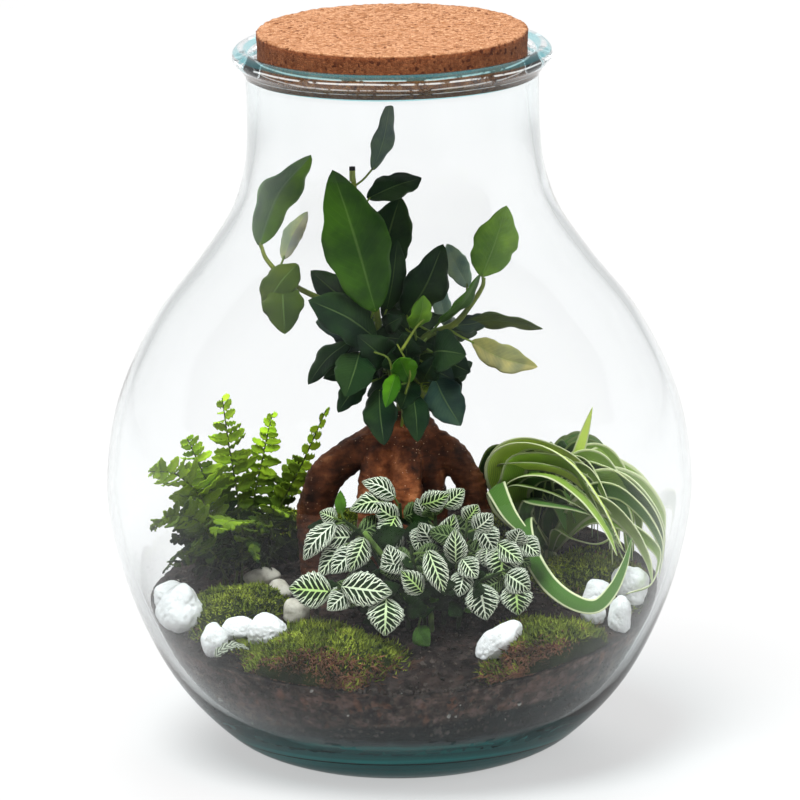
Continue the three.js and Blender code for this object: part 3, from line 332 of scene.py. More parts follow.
def stations(points, roll, steps, twist=0):
    """Even steps along a curve: t, place, direction, side and normal, without twisting the side."""
    points = arrays(points)
    side = sideways(tangent(points, 0), roll)
    fine = 4
    rows = []
    for i in range(steps * fine + 1):
        t = i / (steps * fine)
        along = tangent(points, t)
        side = unit(side - along * np.dot(side, along))
        if i % fine == 0:
            turned = turned_about(side, along, twist * t)
            rows.append((t, curve_point(points, t), along, turned, np.cross(turned, along)))
    return rows


def bars(rows):
    return [(at, along, side) for _, at, along, side, _ in rows]


def wall_curve(outline, steps):
    """Outer wall as a smooth curve through the outline's points."""
    points = arrays(outline)
    last = len(points) - 1
    result = []
    for k in range(steps + 1):
        place = last * k / steps
        i = min(int(place), last - 1)
        result.append(spline(points[max(i - 1, 0)], points[i], points[i + 1],
                             points[min(i + 2, last)], place - i))
    return np.array(result)


OUTER_WALL = wall_curve(JAR_OUTLINE, 96)


def inner_wall():
    along = np.gradient(OUTER_WALL, axis=0)
    along /= np.linalg.norm(along, axis=1)[:, None]
    height = OUTER_WALL[:, 1]
    wall = WALL + WALL_FOOT * np.exp(-height / 18) + WALL_NECK * smoothstep(height, 280, 325)
    inner = np.stack([OUTER_WALL[:, 0] - along[:, 1] * wall, height + along[:, 0] * wall], axis=1)
    return inner[inner[:, 1] > FLOOR + 3]


INNER_WALL = inner_wall()
ROOM = np.vstack([[0, FLOOR], [FLOOR_RADIUS, FLOOR + 0.3], INNER_WALL])


def room_radius(z):
    return np.interp(z, ROOM[:, 1], ROOM[:, 0])


def keep_inside(p, clear=WALL_CLEAR):
    """Moves points that come near the glass back inside."""
    p = np.array(p, float)
    reach = np.hypot(p[..., 0], p[..., 1])
    limit = room_radius(p[..., 2]) * math.cos(math.pi / SEGMENTS) - clear - WALL_SOFTNESS
    over = np.maximum(reach - limit, 0)
    pressed = limit + WALL_SOFTNESS * (1 - np.exp(-over / WALL_SOFTNESS))
    scale = np.where(over > 0, pressed / np.maximum(reach, 1e-6), 1)
    p[..., 0] *= scale
    p[..., 1] *= scale
    return p


def soil_top(x, y):
    to_front = np.clip((12 - y) / 125, 0, 1)
    side = np.abs(x) / 120
    lumps = 0.8 * np.sin(x / 23 + 1.2) * np.cos(y / 27)
    return SOIL_BACK - SOIL_FALL * to_front ** 1.45 - np.where(x < 0, 12, 6) * side ** 3 + lumps


def ground_at(x, y):
    return float(soil_top(np.array(float(x)), np.array(float(y))))


def bumps(points, size, height, seed=0):
    """Smooth noise of about that size at each point."""
    offset = Vector((seed * 7.3, seed * 3.1, seed * 5.7))
    flat = np.asarray(points, float).reshape(-1, 3)
    values = [noise.noise(Vector(p) / size + offset) for p in flat]
    return height * np.array(values).reshape(np.shape(points)[:-1])


def polar(radius, angles, height):
    """Points at those radii, angles and heights round the jar's axis."""
    return np.stack([radius * np.cos(angles), radius * np.sin(angles),
                     height + np.zeros_like(angles)], axis=1)


def pushed(ring, amount, least=8):
    """Points moved away from the jar's axis by an amount each, and less near the axis."""
    scale = 1 + amount / np.maximum(np.hypot(ring[:, 0], ring[:, 1]), least)
    return ring * np.stack([scale, scale, np.ones(len(ring))], axis=1)


# ---- Mesh building ------------------------------------------------------------------------------
class Shape:
    """Gathers the points and faces of one piece. Each point keeps its place on its leaf, as
    (across, along, chance), and a colour."""

    def __init__(self):
        self.points, self.faces, self.places, self.colours, self.count = [], [], [], [], 0

    def add(self, points, faces, places=None, colour=(1, 1, 1)):
        points = np.asarray(points, float).reshape(-1, 3)
        size = len(points)
        if places is None:
            places = np.zeros((size, 3))
        colours = np.ones((size, 4))
        colours[:, :3] = colour
        self.points.append(points)
        self.places.append(np.asarray(places, float).reshape(-1, 3))
        self.colours.append(colours)
        self.faces.extend([tuple(c + self.count for c in face) for face in faces])
        self.count += size

    def build(self, name, material, nodes, smooth=True):
        """Makes the piece. It takes the place of the nodes, if any are named."""
        mesh = bpy.data.meshes.new(name)
        mesh.from_pydata((np.vstack(self.points) * MM).tolist(), [], self.faces)
        mesh.attributes.new("leaf", "FLOAT_VECTOR", "POINT").data.foreach_set(
            "vector", np.vstack(self.places).ravel())
        mesh.attributes.new("tint", "FLOAT_COLOR", "POINT").data.foreach_set(
            "color", np.vstack(self.colours).ravel())
        mesh.validate()
        mesh.polygons.foreach_set("use_smooth", [smooth] * len(mesh.polygons))
        mesh.materials.append(material)
        piece = bpy.data.objects.new(name, mesh)
        bpy.context.scene.collection.objects.link(piece)
        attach(piece, "root")
        if nodes:
            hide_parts(*nodes)
        return piece


def sheet_normals(grid):
    across = np.gradient(grid, axis=1)
    along = np.gradient(grid, axis=0)
    normals = np.cross(across, along)
    return normals / np.maximum(np.linalg.norm(normals, axis=2), 1e-9)[..., None]


def plate(shape, grid, thickness, places, colour):
    """A thin closed plate over a grid of points."""
    rows, columns = grid.shape[:2]
    normals = sheet_normals(grid) * thickness / 2
    size = rows * columns
    faces = []
    for i in range(rows - 1):
        for j in range(columns - 1):
            a = i * columns + j
            b, c, d = a + 1, a + columns + 1, a + columns
            faces.append((a, b, c, d))
            faces.append((a + size, d + size, c + size, b + size))
    ring = (list(range(columns)) + [i * columns + columns - 1 for i in range(1, rows)]
            + [(rows - 1) * columns + j for j in range(columns - 2, -1, -1)]
            + [i * columns for i in range(rows - 2, 0, -1)])
    for a, b in zip(ring, ring[1:] + ring[:1]):
        faces.append((b, a, a + size, b + size))
    both = np.concatenate([grid + normals, grid - normals])
    shape.add(both, faces, np.concatenate([places, places]), colour)


def tube(shape, rows, radii, sides, colour=(1, 1, 1)):
    """A closed round bar through rows of (place, along, side)."""
    angles = np.arange(sides) * 2 * math.pi / sides
    points, places = [], []
    for k, ((at, along, side), radius) in enumerate(zip(rows, radii)):
        over = np.cross(side, along)
        for a in angles:
            points.append(at + radius * (side * math.sin(a) + over * math.cos(a)))
            places.append((a / math.pi - 1, k / (len(rows) - 1), -1))
    faces = []
    for k in range(len(rows) - 1):
        for j in range(sides):
            a, b = k * sides + j, k * sides + (j + 1) % sides
            faces.append((a, a + sides, b + sides, b))
    faces.append(tuple(range(sides)))
    last = (len(rows) - 1) * sides
    faces.append(tuple(last + j for j in reversed(range(sides))))
    shape.add(points, faces, places, colour)


def stem(shape, path, start, end, steps, foot, sides, colour, tip=None):
    """A tapering stem. It goes down into the soil by foot, and fades to the tip's colour."""
    rows = bars(stations(path, 0, steps))
    radii = [lerp(start, end, i / steps) for i in range(steps + 1)]
    if foot > 0:
        base = np.array(path[0], float)
        side = np.array([1.0, 0, 0])
        rows[0] = (base, UP, side)
        rows.insert(0, (base - UP * foot, UP, side))
        radii.insert(0, start)
    if tip is not None:
        share = np.repeat(np.linspace(0, 1, len(rows)) ** 2, sides)[:, None]
        colour = lerp(np.array(colour), np.array(tip), share)
    tube(shape, rows, radii, sides, colour)


def ring_faces(rings, sectors):
    """Faces of a closed surface: a first point, rings of points and a last point."""
    faces = []
    for k in range(rings - 1):
        for j in range(sectors):
            a, b = 1 + k * sectors + j, 1 + k * sectors + (j + 1) % sectors
            faces.append((a, b, b + sectors, a + sectors))
    last = 1 + (rings - 1) * sectors
    for j in range(sectors):
        following = (j + 1) % sectors
        faces.append((0, 1 + following, 1 + j))
        faces.append((last + sectors, last + j, last + following))
    return faces


def even_angles(count):
    return np.arange(count) * 2 * math.pi / count


def revolved(profile, segments, wobble):
    """Points and faces of a profile of (radius, height) turned about the jar's axis. The profile
    runs from the axis out and back to the axis."""
    angles = even_angles(segments)
    rings = [wobble(polar(radius, angles, height)) for radius, height in profile if radius > 1e-6]
    points = np.vstack([[0, 0, profile[0][1]], *rings, [0, 0, profile[-1][1]]])
    return points, ring_faces(len(rings), segments)


# ---- Leaves -------------------------------------------------------------------------------------
def nearest_foot(path, base):
    points = arrays(path)
    best = min(range(61), key=lambda i: np.linalg.norm(curve_point(points, i / 60) - base))
    return curve_point(points, max(best / 60 - 0.06, 0.02))


def leaf_rows(row, steps):
    base, tip, _, roll, arch = row
    start, end = arrays((base, tip))
    along = end - start
    lift = np.cross(along, sideways(along, roll))
    lift = lift / np.linalg.norm(lift) * -arch * np.linalg.norm(along)
    return stations([start, (start + end) / 2 + lift, end], roll, steps)


def blade_grid(rows, half, columns, lift, chance=0):
    """Grid of points of a blade, with lift(across, t, half width) along its normal."""
    across = np.linspace(-1, 1, columns)
    grid = np.zeros((len(rows), columns, 3))
    places = np.full((len(rows), columns, 3), float(chance))
    for i, (t, at, _, side, normal) in enumerate(rows):
        width = half(t)
        grid[i] = at + np.outer(across * width, side) + np.outer(lift(across, t, width), normal)
        places[i, :, 0] = across
        places[i, :, 1] = t
    return keep_inside(grid), places


def leaf(shape, foot, row, steps, columns, outline, lift, thickness, colour, stalk, chance):
    """A blade for a row of a list, and its stalk from the foot on the stem."""
    rows = leaf_rows(row, steps)

    def half(t):
        return STALK_THICK / 2 * (1 - t) + (row[2] - STALK_THICK) / 2 * outline(t)

    grid, places = blade_grid(rows, half, columns, lift, chance)
    plate(shape, grid, thickness, places, colour)
    base = rows[0][1]
    bend = (foot + base) / 2 + np.array([0, 0, -0.04 * np.linalg.norm(base - foot)])
    path = list(keep_inside([foot, bend, base + rows[0][2] * 1.5]))
    if np.linalg.norm(path[0] - path[-1]) > 0.5:
        stem(shape, path, STALK_THICK * 0.5, STALK_THICK * 0.42, 5, 0, 6, stalk)


def leaf_outline(t, power, fullness):
    return math.sin(math.pi * min(max(t, 0), 1) ** power) ** fullness


def nerve_outline(t):
    return leaf_outline(t, 0.82, 0.85)


# ---- Materials, with heights in metres ----------------------------------------------------------
class Value:
    """A socket in a material's node tree, with arithmetic that adds Math nodes."""

    def __init__(self, tree, socket):
        self.tree, self.socket = tree, socket

    def math(self, operation, *others):
        node = self.tree.nodes.new("ShaderNodeMath")
        node.operation = operation
        for slot, value in zip(node.inputs, (self, *others)):
            link(self.tree, slot, value)
        return Value(self.tree, node.outputs[0])

    def __add__(self, other): return self.math("ADD", other)
    def __sub__(self, other): return self.math("SUBTRACT", other)
    def __mul__(self, other): return self.math("MULTIPLY", other)
    def size(self): return self.math("ABSOLUTE")
    def fraction(self): return self.math("FRACT")
    def larger(self, other): return self.math("MAXIMUM", other)

    def step(self, low, high):
        """0 below low and 1 above high, smooth between. low may be the higher one."""
        node = self.tree.nodes.new("ShaderNodeMapRange")
        node.interpolation_type = "SMOOTHSTEP"
        link(self.tree, node.inputs["Value"], self)
        flip = low > high
        node.inputs["From Min"].default_value = high if flip else low
        node.inputs["From Max"].default_value = low if flip else high
        node.inputs["To Min"].default_value = 1 if flip else 0
        node.inputs["To Max"].default_value = 0 if flip else 1
        return Value(self.tree, node.outputs["Result"])


def link(tree, slot, value):
    """Gives a socket a value: another socket, a colour or a number."""
    if isinstance(value, Value):
        tree.links.new(value.socket, slot)
    elif isinstance(value, tuple) and slot.type == "RGBA":
        slot.default_value = (*value, 1)
    else:
        slot.default_value = value


def mix_shaders(tree, amount, first, second, output):
    """Sends a mix of two shader nodes to the output. amount is the socket that picks the second."""
    mixed = tree.nodes.new("ShaderNodeMixShader")
    for slot, source in zip(mixed.inputs, (amount, first.outputs[0], second.outputs[0])):
        tree.links.new(source, slot)
    tree.links.new(mixed.outputs[0], tree.nodes[output].inputs["Surface"])


class Paint:
    """One procedural material."""

    def __init__(self, name, **settings):
        self.material = bpy.data.materials.new(name)
        self.material.use_nodes = True
        self.tree = self.material.node_tree
        self.shader = self.tree.nodes["Principled BSDF"]
        for socket, value in settings.items():
            self.set(socket.replace("_", " "), value)
        self.where = self.value(self.node("ShaderNodeTexCoord").outputs["Object"])

    def set(self, socket, value):
        link(self.tree, self.shader.inputs[socket], value)

    def node(self, kind, **settings):
        node = self.tree.nodes.new(kind)
        for key, value in settings.items():
            setattr(node, key, value)
        return node

    def value(self, socket):
        return Value(self.tree, socket)

    def tint(self):
        """The colour kept at each point."""
        return self.value(self.node("ShaderNodeAttribute", attribute_name="tint").outputs["Color"])

    def parts(self, vector, kind="ShaderNodeSeparateXYZ"):
        node = self.node(kind)
        link(self.tree, node.inputs[0], vector)
        return [self.value(node.outputs[i]) for i in range(3)]

    def leaf_place(self):
        """Across and along the leaf, and the leaf's own chance."""
        node = self.node("ShaderNodeAttribute", attribute_name="leaf")
        return self.parts(self.value(node.outputs["Vector"]))

    def height(self):
        return self.parts(self.where)[2]

    def noise(self, scale, detail=3, roughness=0.55, stretch=None):
        node = self.node("ShaderNodeTexNoise")
        link(self.tree, node.inputs["Vector"], self.stretched(stretch))
        node.inputs["Scale"].default_value = scale
        node.inputs["Detail"].default_value = detail
        node.inputs["Roughness"].default_value = roughness
        return self.value(node.outputs["Fac"])

    def stretched(self, stretch):
        if stretch is None:
            return self.where
        node = self.node("ShaderNodeMapping")
        link(self.tree, node.inputs["Vector"], self.where)
        node.inputs["Scale"].default_value = stretch
        return self.value(node.outputs[0])

    def cells(self, scale, output="Distance", feature="F1"):
        node = self.node("ShaderNodeTexVoronoi", feature=feature)
        link(self.tree, node.inputs["Vector"], self.where)
        node.inputs["Scale"].default_value = scale
        return self.value(node.outputs[output])

    def cell_tones(self, scale):
        """A random number for each cell."""
        return self.parts(self.cells(scale, output="Color"), "ShaderNodeSeparateColor")[0]

    def mix(self, amount, low, high, blend="MIX"):
        node = self.node("ShaderNodeMix", data_type="RGBA", blend_type=blend)
        link(self.tree, node.inputs["Factor"], amount)
        low_slot, high_slot = node.inputs[6:8]  # the Mix node's own colour sockets
        link(self.tree, low_slot, low)
        link(self.tree, high_slot, high)
        return self.value(node.outputs[2])

    def times(self, base, factor):
        return self.mix(1.0, base, factor, "MULTIPLY")

    def varied(self, base, pattern, low, high):
        """The base times low to high, as the pattern says."""
        return self.times(base, self.mix(pattern, low, high))

    def changed(self, base, amount, factor):
        """The base, multiplied by the factor where the amount says so."""
        return self.mix(amount, base, self.times(base, factor))

    def ramp(self, amount, stops):
        node = self.node("ShaderNodeValToRGB")
        link(self.tree, node.inputs["Fac"], amount)
        elements = node.color_ramp.elements
        while len(elements) < len(stops):
            elements.new(0.5)
        for element, (position, colour) in zip(elements, stops):
            element.position = position
            element.color = (*colour, 1)
        return self.value(node.outputs["Color"])

    def colour(self, value):
        self.set("Base Color", value)

    def bump(self, height, distance, strength=1.0):
        """Relief of that many millimetres."""
        node = self.node("ShaderNodeBump")
        node.inputs["Distance"].default_value = distance * MM
        node.inputs["Strength"].default_value = strength
        link(self.tree, node.inputs["Height"], height)
        self.tree.links.new(node.outputs["Normal"], self.shader.inputs["Normal"])


CLEAR_IOR = 1.45
RIM_IOR = 1.03  # low, because light caught in the thick bead would turn it black


def glass_material(name, ior, tint, density):
    """Glass that lets light through to the planting in straight lines."""
    paint = Paint(name, Roughness=0.0, IOR=ior, Transmission_Weight=1.0, Base_Color=tint,
                  Specular_Tint=(0.45, 0.45, 0.45))
    clear = paint.node("ShaderNodeBsdfTransparent")
    clear.inputs["Color"].default_value = (0.96, 0.985, 0.99, 1)
    path = paint.node("ShaderNodeLightPath")
    mix_shaders(paint.tree, path.outputs["Is Shadow Ray"], paint.shader, clear, "Material Output")
    if density > 0:
        body = paint.node("ShaderNodeVolumeAbsorption")
        body.inputs["Color"].default_value = (0.30, 0.84, 0.87, 1)
        body.inputs["Density"].default_value = density
        paint.tree.links.new(body.outputs[0], paint.tree.nodes["Material Output"].inputs["Volume"])
    return paint


def rim_material():
    """The rolled rim: teal where the glass is thickest, with a painted teal glow there, and painted
    highlight lines under it that glow.
    """
    paint = glass_material("rim_glass", RIM_IOR, (1, 1, 1), 0)
    paint.set("Coat Weight", 1.0)
    paint.set("Coat Roughness", 0.04)
    uneven = paint.height() + paint.noise(30, 2) * 0.0012 - 0.0006
    teal_band_and_glow = uneven.step(0.3425, 0.3432) * uneven.step(0.3453, 0.3448)
    tint = paint.mix(teal_band_and_glow * 0.9, (0.93, 0.96, 0.97), (0.12, 0.42, 0.46))
    paint.colour(paint.mix(uneven.step(0.3372, 0.3364), tint, (0.80, 0.84, 0.84)))
    # Painted highlights: two broken bright lines round the bead, made to glow by emission.
    broken = paint.noise(95, 4, 0.7).step(0.40, 0.52)
    painted_highlight_line = uneven.step(0.3407, 0.3410) * uneven.step(0.3419, 0.3415) * broken
    lower = uneven.step(0.3363, 0.3365) * uneven.step(0.3370, 0.3368) * broken
    lines = painted_highlight_line.larger(lower * 0.6)
    # Painted glow: the highlight lines glow near white, and the teal band glows teal.
    painted_glow_colour = paint.mix(lines.step(0.1, 0.4), (0.02, 0.20, 0.23), (0.95, 1.0, 1.0))
    paint.set("Emission Color", painted_glow_colour)
    paint.set("Emission Strength", (lines * 0.75).larger(teal_band_and_glow * 0.45))
    return paint


def cork_material():
    """Pressed grains, with painted shade: the side is darker than the top, and darker still inside
    the neck.
    """
    paint = Paint("pressed_cork", Roughness=0.85)
    grains = 620
    base = paint.ramp(paint.cell_tones(grains), [
        (0.0, (0.16, 0.055, 0.02)), (0.10, (0.34, 0.15, 0.06)), (0.4, (0.46, 0.225, 0.115)),
        (1.0, (0.62, 0.35, 0.20))])
    edges = paint.cells(grains, feature="DISTANCE_TO_EDGE")
    fine = paint.noise(1500, 2)
    base = paint.varied(base, fine.step(0.35, 0.7), (0.74, 0.68, 0.62), (1.12, 1.08, 1.04))
    base = paint.mix(edges.step(0.10, 0.0) * 0.35, base, (0.24, 0.09, 0.035))
    pits = paint.noise(420, 4, 0.7)
    base = paint.mix(pits.step(0.62, 0.68), base, (0.13, 0.05, 0.02))
    height = paint.height()
    # Painted shade: the side darker than the top, and darker still inside the neck.
    base = paint.changed(base, height.step(0.3526, 0.3516), (0.46, 0.28, 0.18))
    paint.colour(paint.changed(base, height.step(0.3425, 0.3400), (0.85, 1.10, 0.85)))
    paint.bump(edges.step(0.0, 0.2) + pits.step(0.70, 0.60), 0.4, 0.6)
    return paint.material


def soil_material():
    """Soil that is paler and browner where it lies against the glass, and wet lower down."""
    paint = Paint("potting_soil", Roughness=0.95, Specular_IOR_Level=0.15)
    clumps = paint.noise(120, 2, 0.6)
    base = paint.ramp(clumps, [(0.34, (0.007, 0.0052, 0.0048)), (0.5, (0.026, 0.020, 0.018)),
                               (0.66, (0.062, 0.047, 0.042))])
    streaks = paint.noise(55, 4, 0.6, stretch=(0.5, 0.5, 2.2))
    base = paint.mix(streaks.step(0.50, 0.66) * 0.55, base, (0.060, 0.038, 0.032))
    fibres = paint.noise(130, 1, 0.5, stretch=(1, 1, 0.4))
    base = paint.mix(fibres.step(0.62, 0.72) * 0.5, base, (0.085, 0.042, 0.028))
    grit = paint.noise(300, 3, 0.65)
    base = paint.varied(base, grit.step(0.36, 0.62), (0.62, 0.62, 0.62), (1.45, 1.40, 1.36))
    normal = paint.value(paint.node("ShaderNodeNewGeometry").outputs["Normal"])
    upward = paint.parts(normal)[2].step(0.15, 0.75)
    base = paint.varied(base, upward, (1.9, 1.75, 1.7), (0.62, 0.62, 0.64))
    right, _, height = paint.parts(paint.where)
    edge = height - right * 0.085 + paint.noise(14, 4, 0.6, stretch=(1, 1, 3)) * 0.012 - 0.006
    paint.colour(paint.changed(base, edge.step(0.0415, 0.0385), (0.08, 0.14, 0.17)))
    paint.bump(paint.noise(150, 2, 0.5), 1.2, 0.7)
    return paint.material


def crumb_material():
    paint = Paint("soil_crumb", Roughness=0.92)
    mottle = paint.noise(500, 2)
    paint.colour(paint.varied(paint.tint(), mottle.step(0.3, 0.7), (0.6, 0.6, 0.6),
                              (1.4, 1.35, 1.3)))
    return paint.material


def gravel_material():
    """Dark wet gravel, teal lower down as the thick glass colours it, with teal streaks that are
    painted highlights of light refracted by the thick glass.
    """
    paint = Paint("dark_gravel", Roughness=0.6)
    base = paint.ramp(paint.cell_tones(190), [
        (0.0, (0.003, 0.006, 0.008)), (0.7, (0.006, 0.012, 0.015)), (1.0, (0.014, 0.026, 0.030))])
    height = paint.height()
    uneven = height + paint.noise(20, 3, 0.6, stretch=(0.3, 0.3, 2)) * 0.010 - 0.005
    base = paint.mix(uneven.step(0.0250, 0.0185) * 0.9, base, (0.008, 0.115, 0.120))
    # Painted highlights: bright teal streaks low down, as light refracted by the thick glass.
    streaks_and_painted_highlights = paint.noise(15, 4, 0.55, stretch=(0.16, 0.16, 9))
    base = paint.mix(streaks_and_painted_highlights.step(0.48, 0.68) * height.step(0.031, 0.023) * 0.85, base,
                     (0.018, 0.34, 0.32))
    paint.colour(paint.mix(streaks_and_painted_highlights.step(0.47, 0.36) * 0.75, base, (0.004, 0.014, 0.017)))
    paint.bump(paint.noise(120, 2), 1.0, 0.5)
    return paint.material


def moss_material():
    paint = Paint("moss", Roughness=0.9, Specular_IOR_Level=0.1)
    patch = paint.noise(90, 3)
    paint.colour(paint.varied(paint.tint(), patch.step(0.35, 0.65), (0.55, 0.60, 0.50),
                              (1.45, 1.35, 1.1)))
    return paint.material


def white_stone_material():
    paint = Paint("white_marble", Roughness=0.7)
    dust = paint.noise(260, 5, 0.7)
    base = paint.ramp(dust, [(0.28, (0.66, 0.64, 0.61)), (0.42, (0.93, 0.925, 0.92)),
                             (0.7, (0.98, 0.98, 0.975))])
    specks = paint.cells(700).step(0.16, 0.06) * paint.noise(260, 1).step(0.52, 0.6)
    paint.colour(paint.mix(specks, base, (0.16, 0.14, 0.12)))
    paint.bump(dust, 1.0, 0.8)
    return paint.material


def grey_stone_material():
    paint = Paint("grey_pebble", Roughness=0.75)
    mottle = paint.noise(140, 5, 0.6)
    base = paint.ramp(mottle, [(0.3, (0.26, 0.235, 0.185)), (0.5, (0.56, 0.52, 0.435)),
                               (0.72, (0.76, 0.72, 0.63))])
    specks = paint.cells(700).step(0.15, 0.06)
    paint.colour(paint.mix(specks * 0.7, base, (0.15, 0.13, 0.10)))
    paint.bump(mottle, 0.5, 0.5)
    return paint.material


def bark_material():
    paint = Paint("root_bark", Roughness=0.6, Specular_IOR_Level=0.3)
    blotch = paint.noise(75, 5, 0.65)
    base = paint.ramp(blotch, [(0.32, (0.014, 0.005, 0.003)), (0.46, (0.068, 0.019, 0.007)),
                               (0.58, (0.165, 0.048, 0.016)), (0.72, (0.36, 0.135, 0.052))])
    rings = paint.noise(150, 4, 0.6, stretch=(0.35, 0.35, 2.2))
    base = paint.mix(rings.step(0.56, 0.70) * 0.7, base, (0.022, 0.008, 0.005))
    specks = paint.cells(520).step(0.20, 0.08) * paint.noise(160, 1).step(0.48, 0.6)
    base = paint.mix(specks, base, (0.50, 0.30, 0.18))
    # The tint carries the trunk's painted light and shade, and its pale cuts.
    paint.colour(paint.times(base, paint.tint()))
    paint.bump(rings + blotch * 0.6, 1.1, 0.8)
    return paint.material


def ficus_material():
    """Glossy blades with a pale midrib, faint side veins and painted sheen in patches."""
    paint = Paint("ficus_leaf", Roughness=0.42, Specular_IOR_Level=0.28)
    across, along, chance = paint.leaf_place()
    out = across.size()
    # Painted sheen: the blades lighter and darker in patches.
    mottle = paint.noise(50, 3, 0.6)
    base = paint.varied(paint.tint(), mottle.step(0.32, 0.68), (0.62, 0.68, 0.80),
                        (1.50, 1.36, 1.05))
    veins = (along * 15 - out * 3.2 + chance * 5).fraction() - 0.5
    vein = veins.size().step(0.12, 0.02) * out.step(1.0, 0.6)
    paler = paint.times(base, (1.7, 1.7, 1.5))
    base = paint.mix(vein * 0.20, base, paler)
    rib = out.step(0.055, 0.02) * along.step(1.0, 0.8)
    base = paint.mix(rib * 0.55, base, paint.mix(0.5, paler, (0.20, 0.30, 0.09)))
    paint.colour(paint.mix(out.step(0.95, 1.0) * 0.35, base, paler))
    paint.bump(vein * -0.4 + rib * -1.0, 0.25, 0.5)
    return paint.material


def fern_material():
    paint = Paint("fern_leaf", Roughness=0.55, Specular_IOR_Level=0.2)
    mottle = paint.noise(200, 3)
    paint.colour(paint.varied(paint.tint(), mottle.step(0.3, 0.7), (0.8, 0.85, 0.8),
                              (1.15, 1.1, 1.0)))
    return paint.material


def nerve_material():
    """Dark blades with white side veins that fork twice on their way to the edge. The leaf's chance
    says how lime the veins are: 0 to 1. It is -0.3 for shaded veins and -1 for none."""
    paint = Paint("nerve_leaf", Roughness=0.5, Specular_IOR_Level=0.18)
    across, along, chance = paint.leaf_place()
    wave = paint.noise(260, 2) * 0.9 - 0.45
    out = across.size()
    offset = across.step(-0.01, 0.01) * 0.5
    place = ((along - out * 0.26) * 7.4 + wave * out + offset).fraction() - 0.5
    first = (place.size() - out.step(0.22, 0.78) * 0.25).size()
    second = (first - out.step(0.60, 1.05) * 0.125).size()
    vein = (second * (out * 8.0 + 7.0)).step(1.20, 0.80)
    rib = out.step(0.085, 0.045)
    edge = out.step(1.02, 0.985) * along.step(1.0, 0.97)
    lines = vein.larger(rib) * edge
    mottle = paint.noise(150, 2)
    blade = paint.varied(paint.tint(), mottle.step(0.3, 0.7), (0.6, 0.6, 0.6), (1.5, 1.5, 1.2))
    white = paint.mix(chance.step(0.1, 0.9) * out.step(0.85, 0.0), (0.84, 0.90, 0.72),
                      (0.54, 0.76, 0.26))
    white = paint.mix(chance.step(-0.15, -0.05), paint.times(white, (0.22, 0.30, 0.14)), white)
    paint.colour(paint.mix(chance.step(-0.6, -0.5) * lines, blade, white))
    paint.bump(lines * -1.0, 0.3, 0.6)
    return paint.material


def spider_material():
    """Striped green straps with cream margins, which are dim where the leaf's chance is 0."""
    paint = Paint("spider_leaf", Roughness=0.42, Specular_IOR_Level=0.28)
    across, along, chance = paint.leaf_place()
    stripes = ((across * 7 + paint.noise(40, 1) * 0.6).fraction() - 0.5).size()
    green = paint.changed(paint.tint(), stripes.step(0.35, 0.1) * 0.35, (2.1, 1.8, 2.0))
    margin = (across.size() + paint.noise(35, 2) * 0.20).step(0.80, 0.95)
    cream = paint.mix(along.step(0.0, 0.25), (0.50, 0.60, 0.24), (0.78, 0.82, 0.50))
    cream = paint.changed(cream, chance.step(0.3, 0.0), (0.20, 0.26, 0.14))
    paler = paint.changed(green, along.step(0.15, 0.75) * 0.35, (2.2, 1.7, 2.4))
    paint.colour(paint.mix(margin, paler, cream))
    paint.bump(stripes, 0.12, 0.5)
    return paint.material


def fallen_material():
    paint = Paint("fallen_leaf", Roughness=0.75)
    across, along, _ = paint.leaf_place()
    stripes = ((along * 8 - across.size() * 1.5).fraction() - 0.5).size()
    paint.colour(paint.mix(stripes.step(0.28, 0.16), (0.075, 0.085, 0.055), (0.50, 0.53, 0.42)))
    return paint.material


# ---- Jar, cork, gravel and soil -----------------------------------------------------------------
GLASS_DENSITY = 7  # of the absorption in the body of the glass


def turned_piece(name, profile, segments, wobble, material):
    shape = Shape()
    shape.add(*revolved(profile, segments, wobble))
    return shape.build(name + "_fine", material, [name])


def level(start, end, steps, height):
    """Level part of a profile."""
    return [(radius, height) for radius in np.linspace(start, end, steps)]


def glass_jar():
    bead = [(RIM_RADIUS + RIM_BEAD * math.cos(a), RIM_HEIGHT + RIM_BEAD * math.sin(a))
            for a in np.radians(np.linspace(-65, 150, 16))]
    foot = [(0, PUNT), (20, PUNT), (38, PUNT), (44, 1.7), (49, 0.5), (FOOT_INNER, 0), (58, 0),
            (62.5, 0)]
    floor_top = [(FLOOR_RADIUS, FLOOR + 0.3), (30, FLOOR + 0.1), (0, FLOOR)]
    profile = [*foot, *OUTER_WALL[1:], *bead, *INNER_WALL[::-1], *floor_top]

    def wobble(ring):
        return pushed(ring, bumps(ring, 38, 0.35, seed=3) * smoothstep(ring[:, 2], 8, 40), 1)

    body = glass_material("clear_glass", CLEAR_IOR, (1.0, 0.992, 0.994), GLASS_DENSITY)
    piece = turned_piece("glass_jar", profile, 168, wobble, body.material)
    foot_glass = glass_material("foot_glass", CLEAR_IOR, (0.40, 0.86, 0.86), GLASS_DENSITY)
    for paint in (rim_material(), foot_glass):
        piece.data.materials.append(paint.material)
    for face in piece.data.polygons:
        if face.center.z > (RIM_HEIGHT - 1.15 * RIM_BEAD) * MM:
            face.material_index = 1
        if face.center.z < (FLOOR - 1) * MM:
            face.material_index = 2


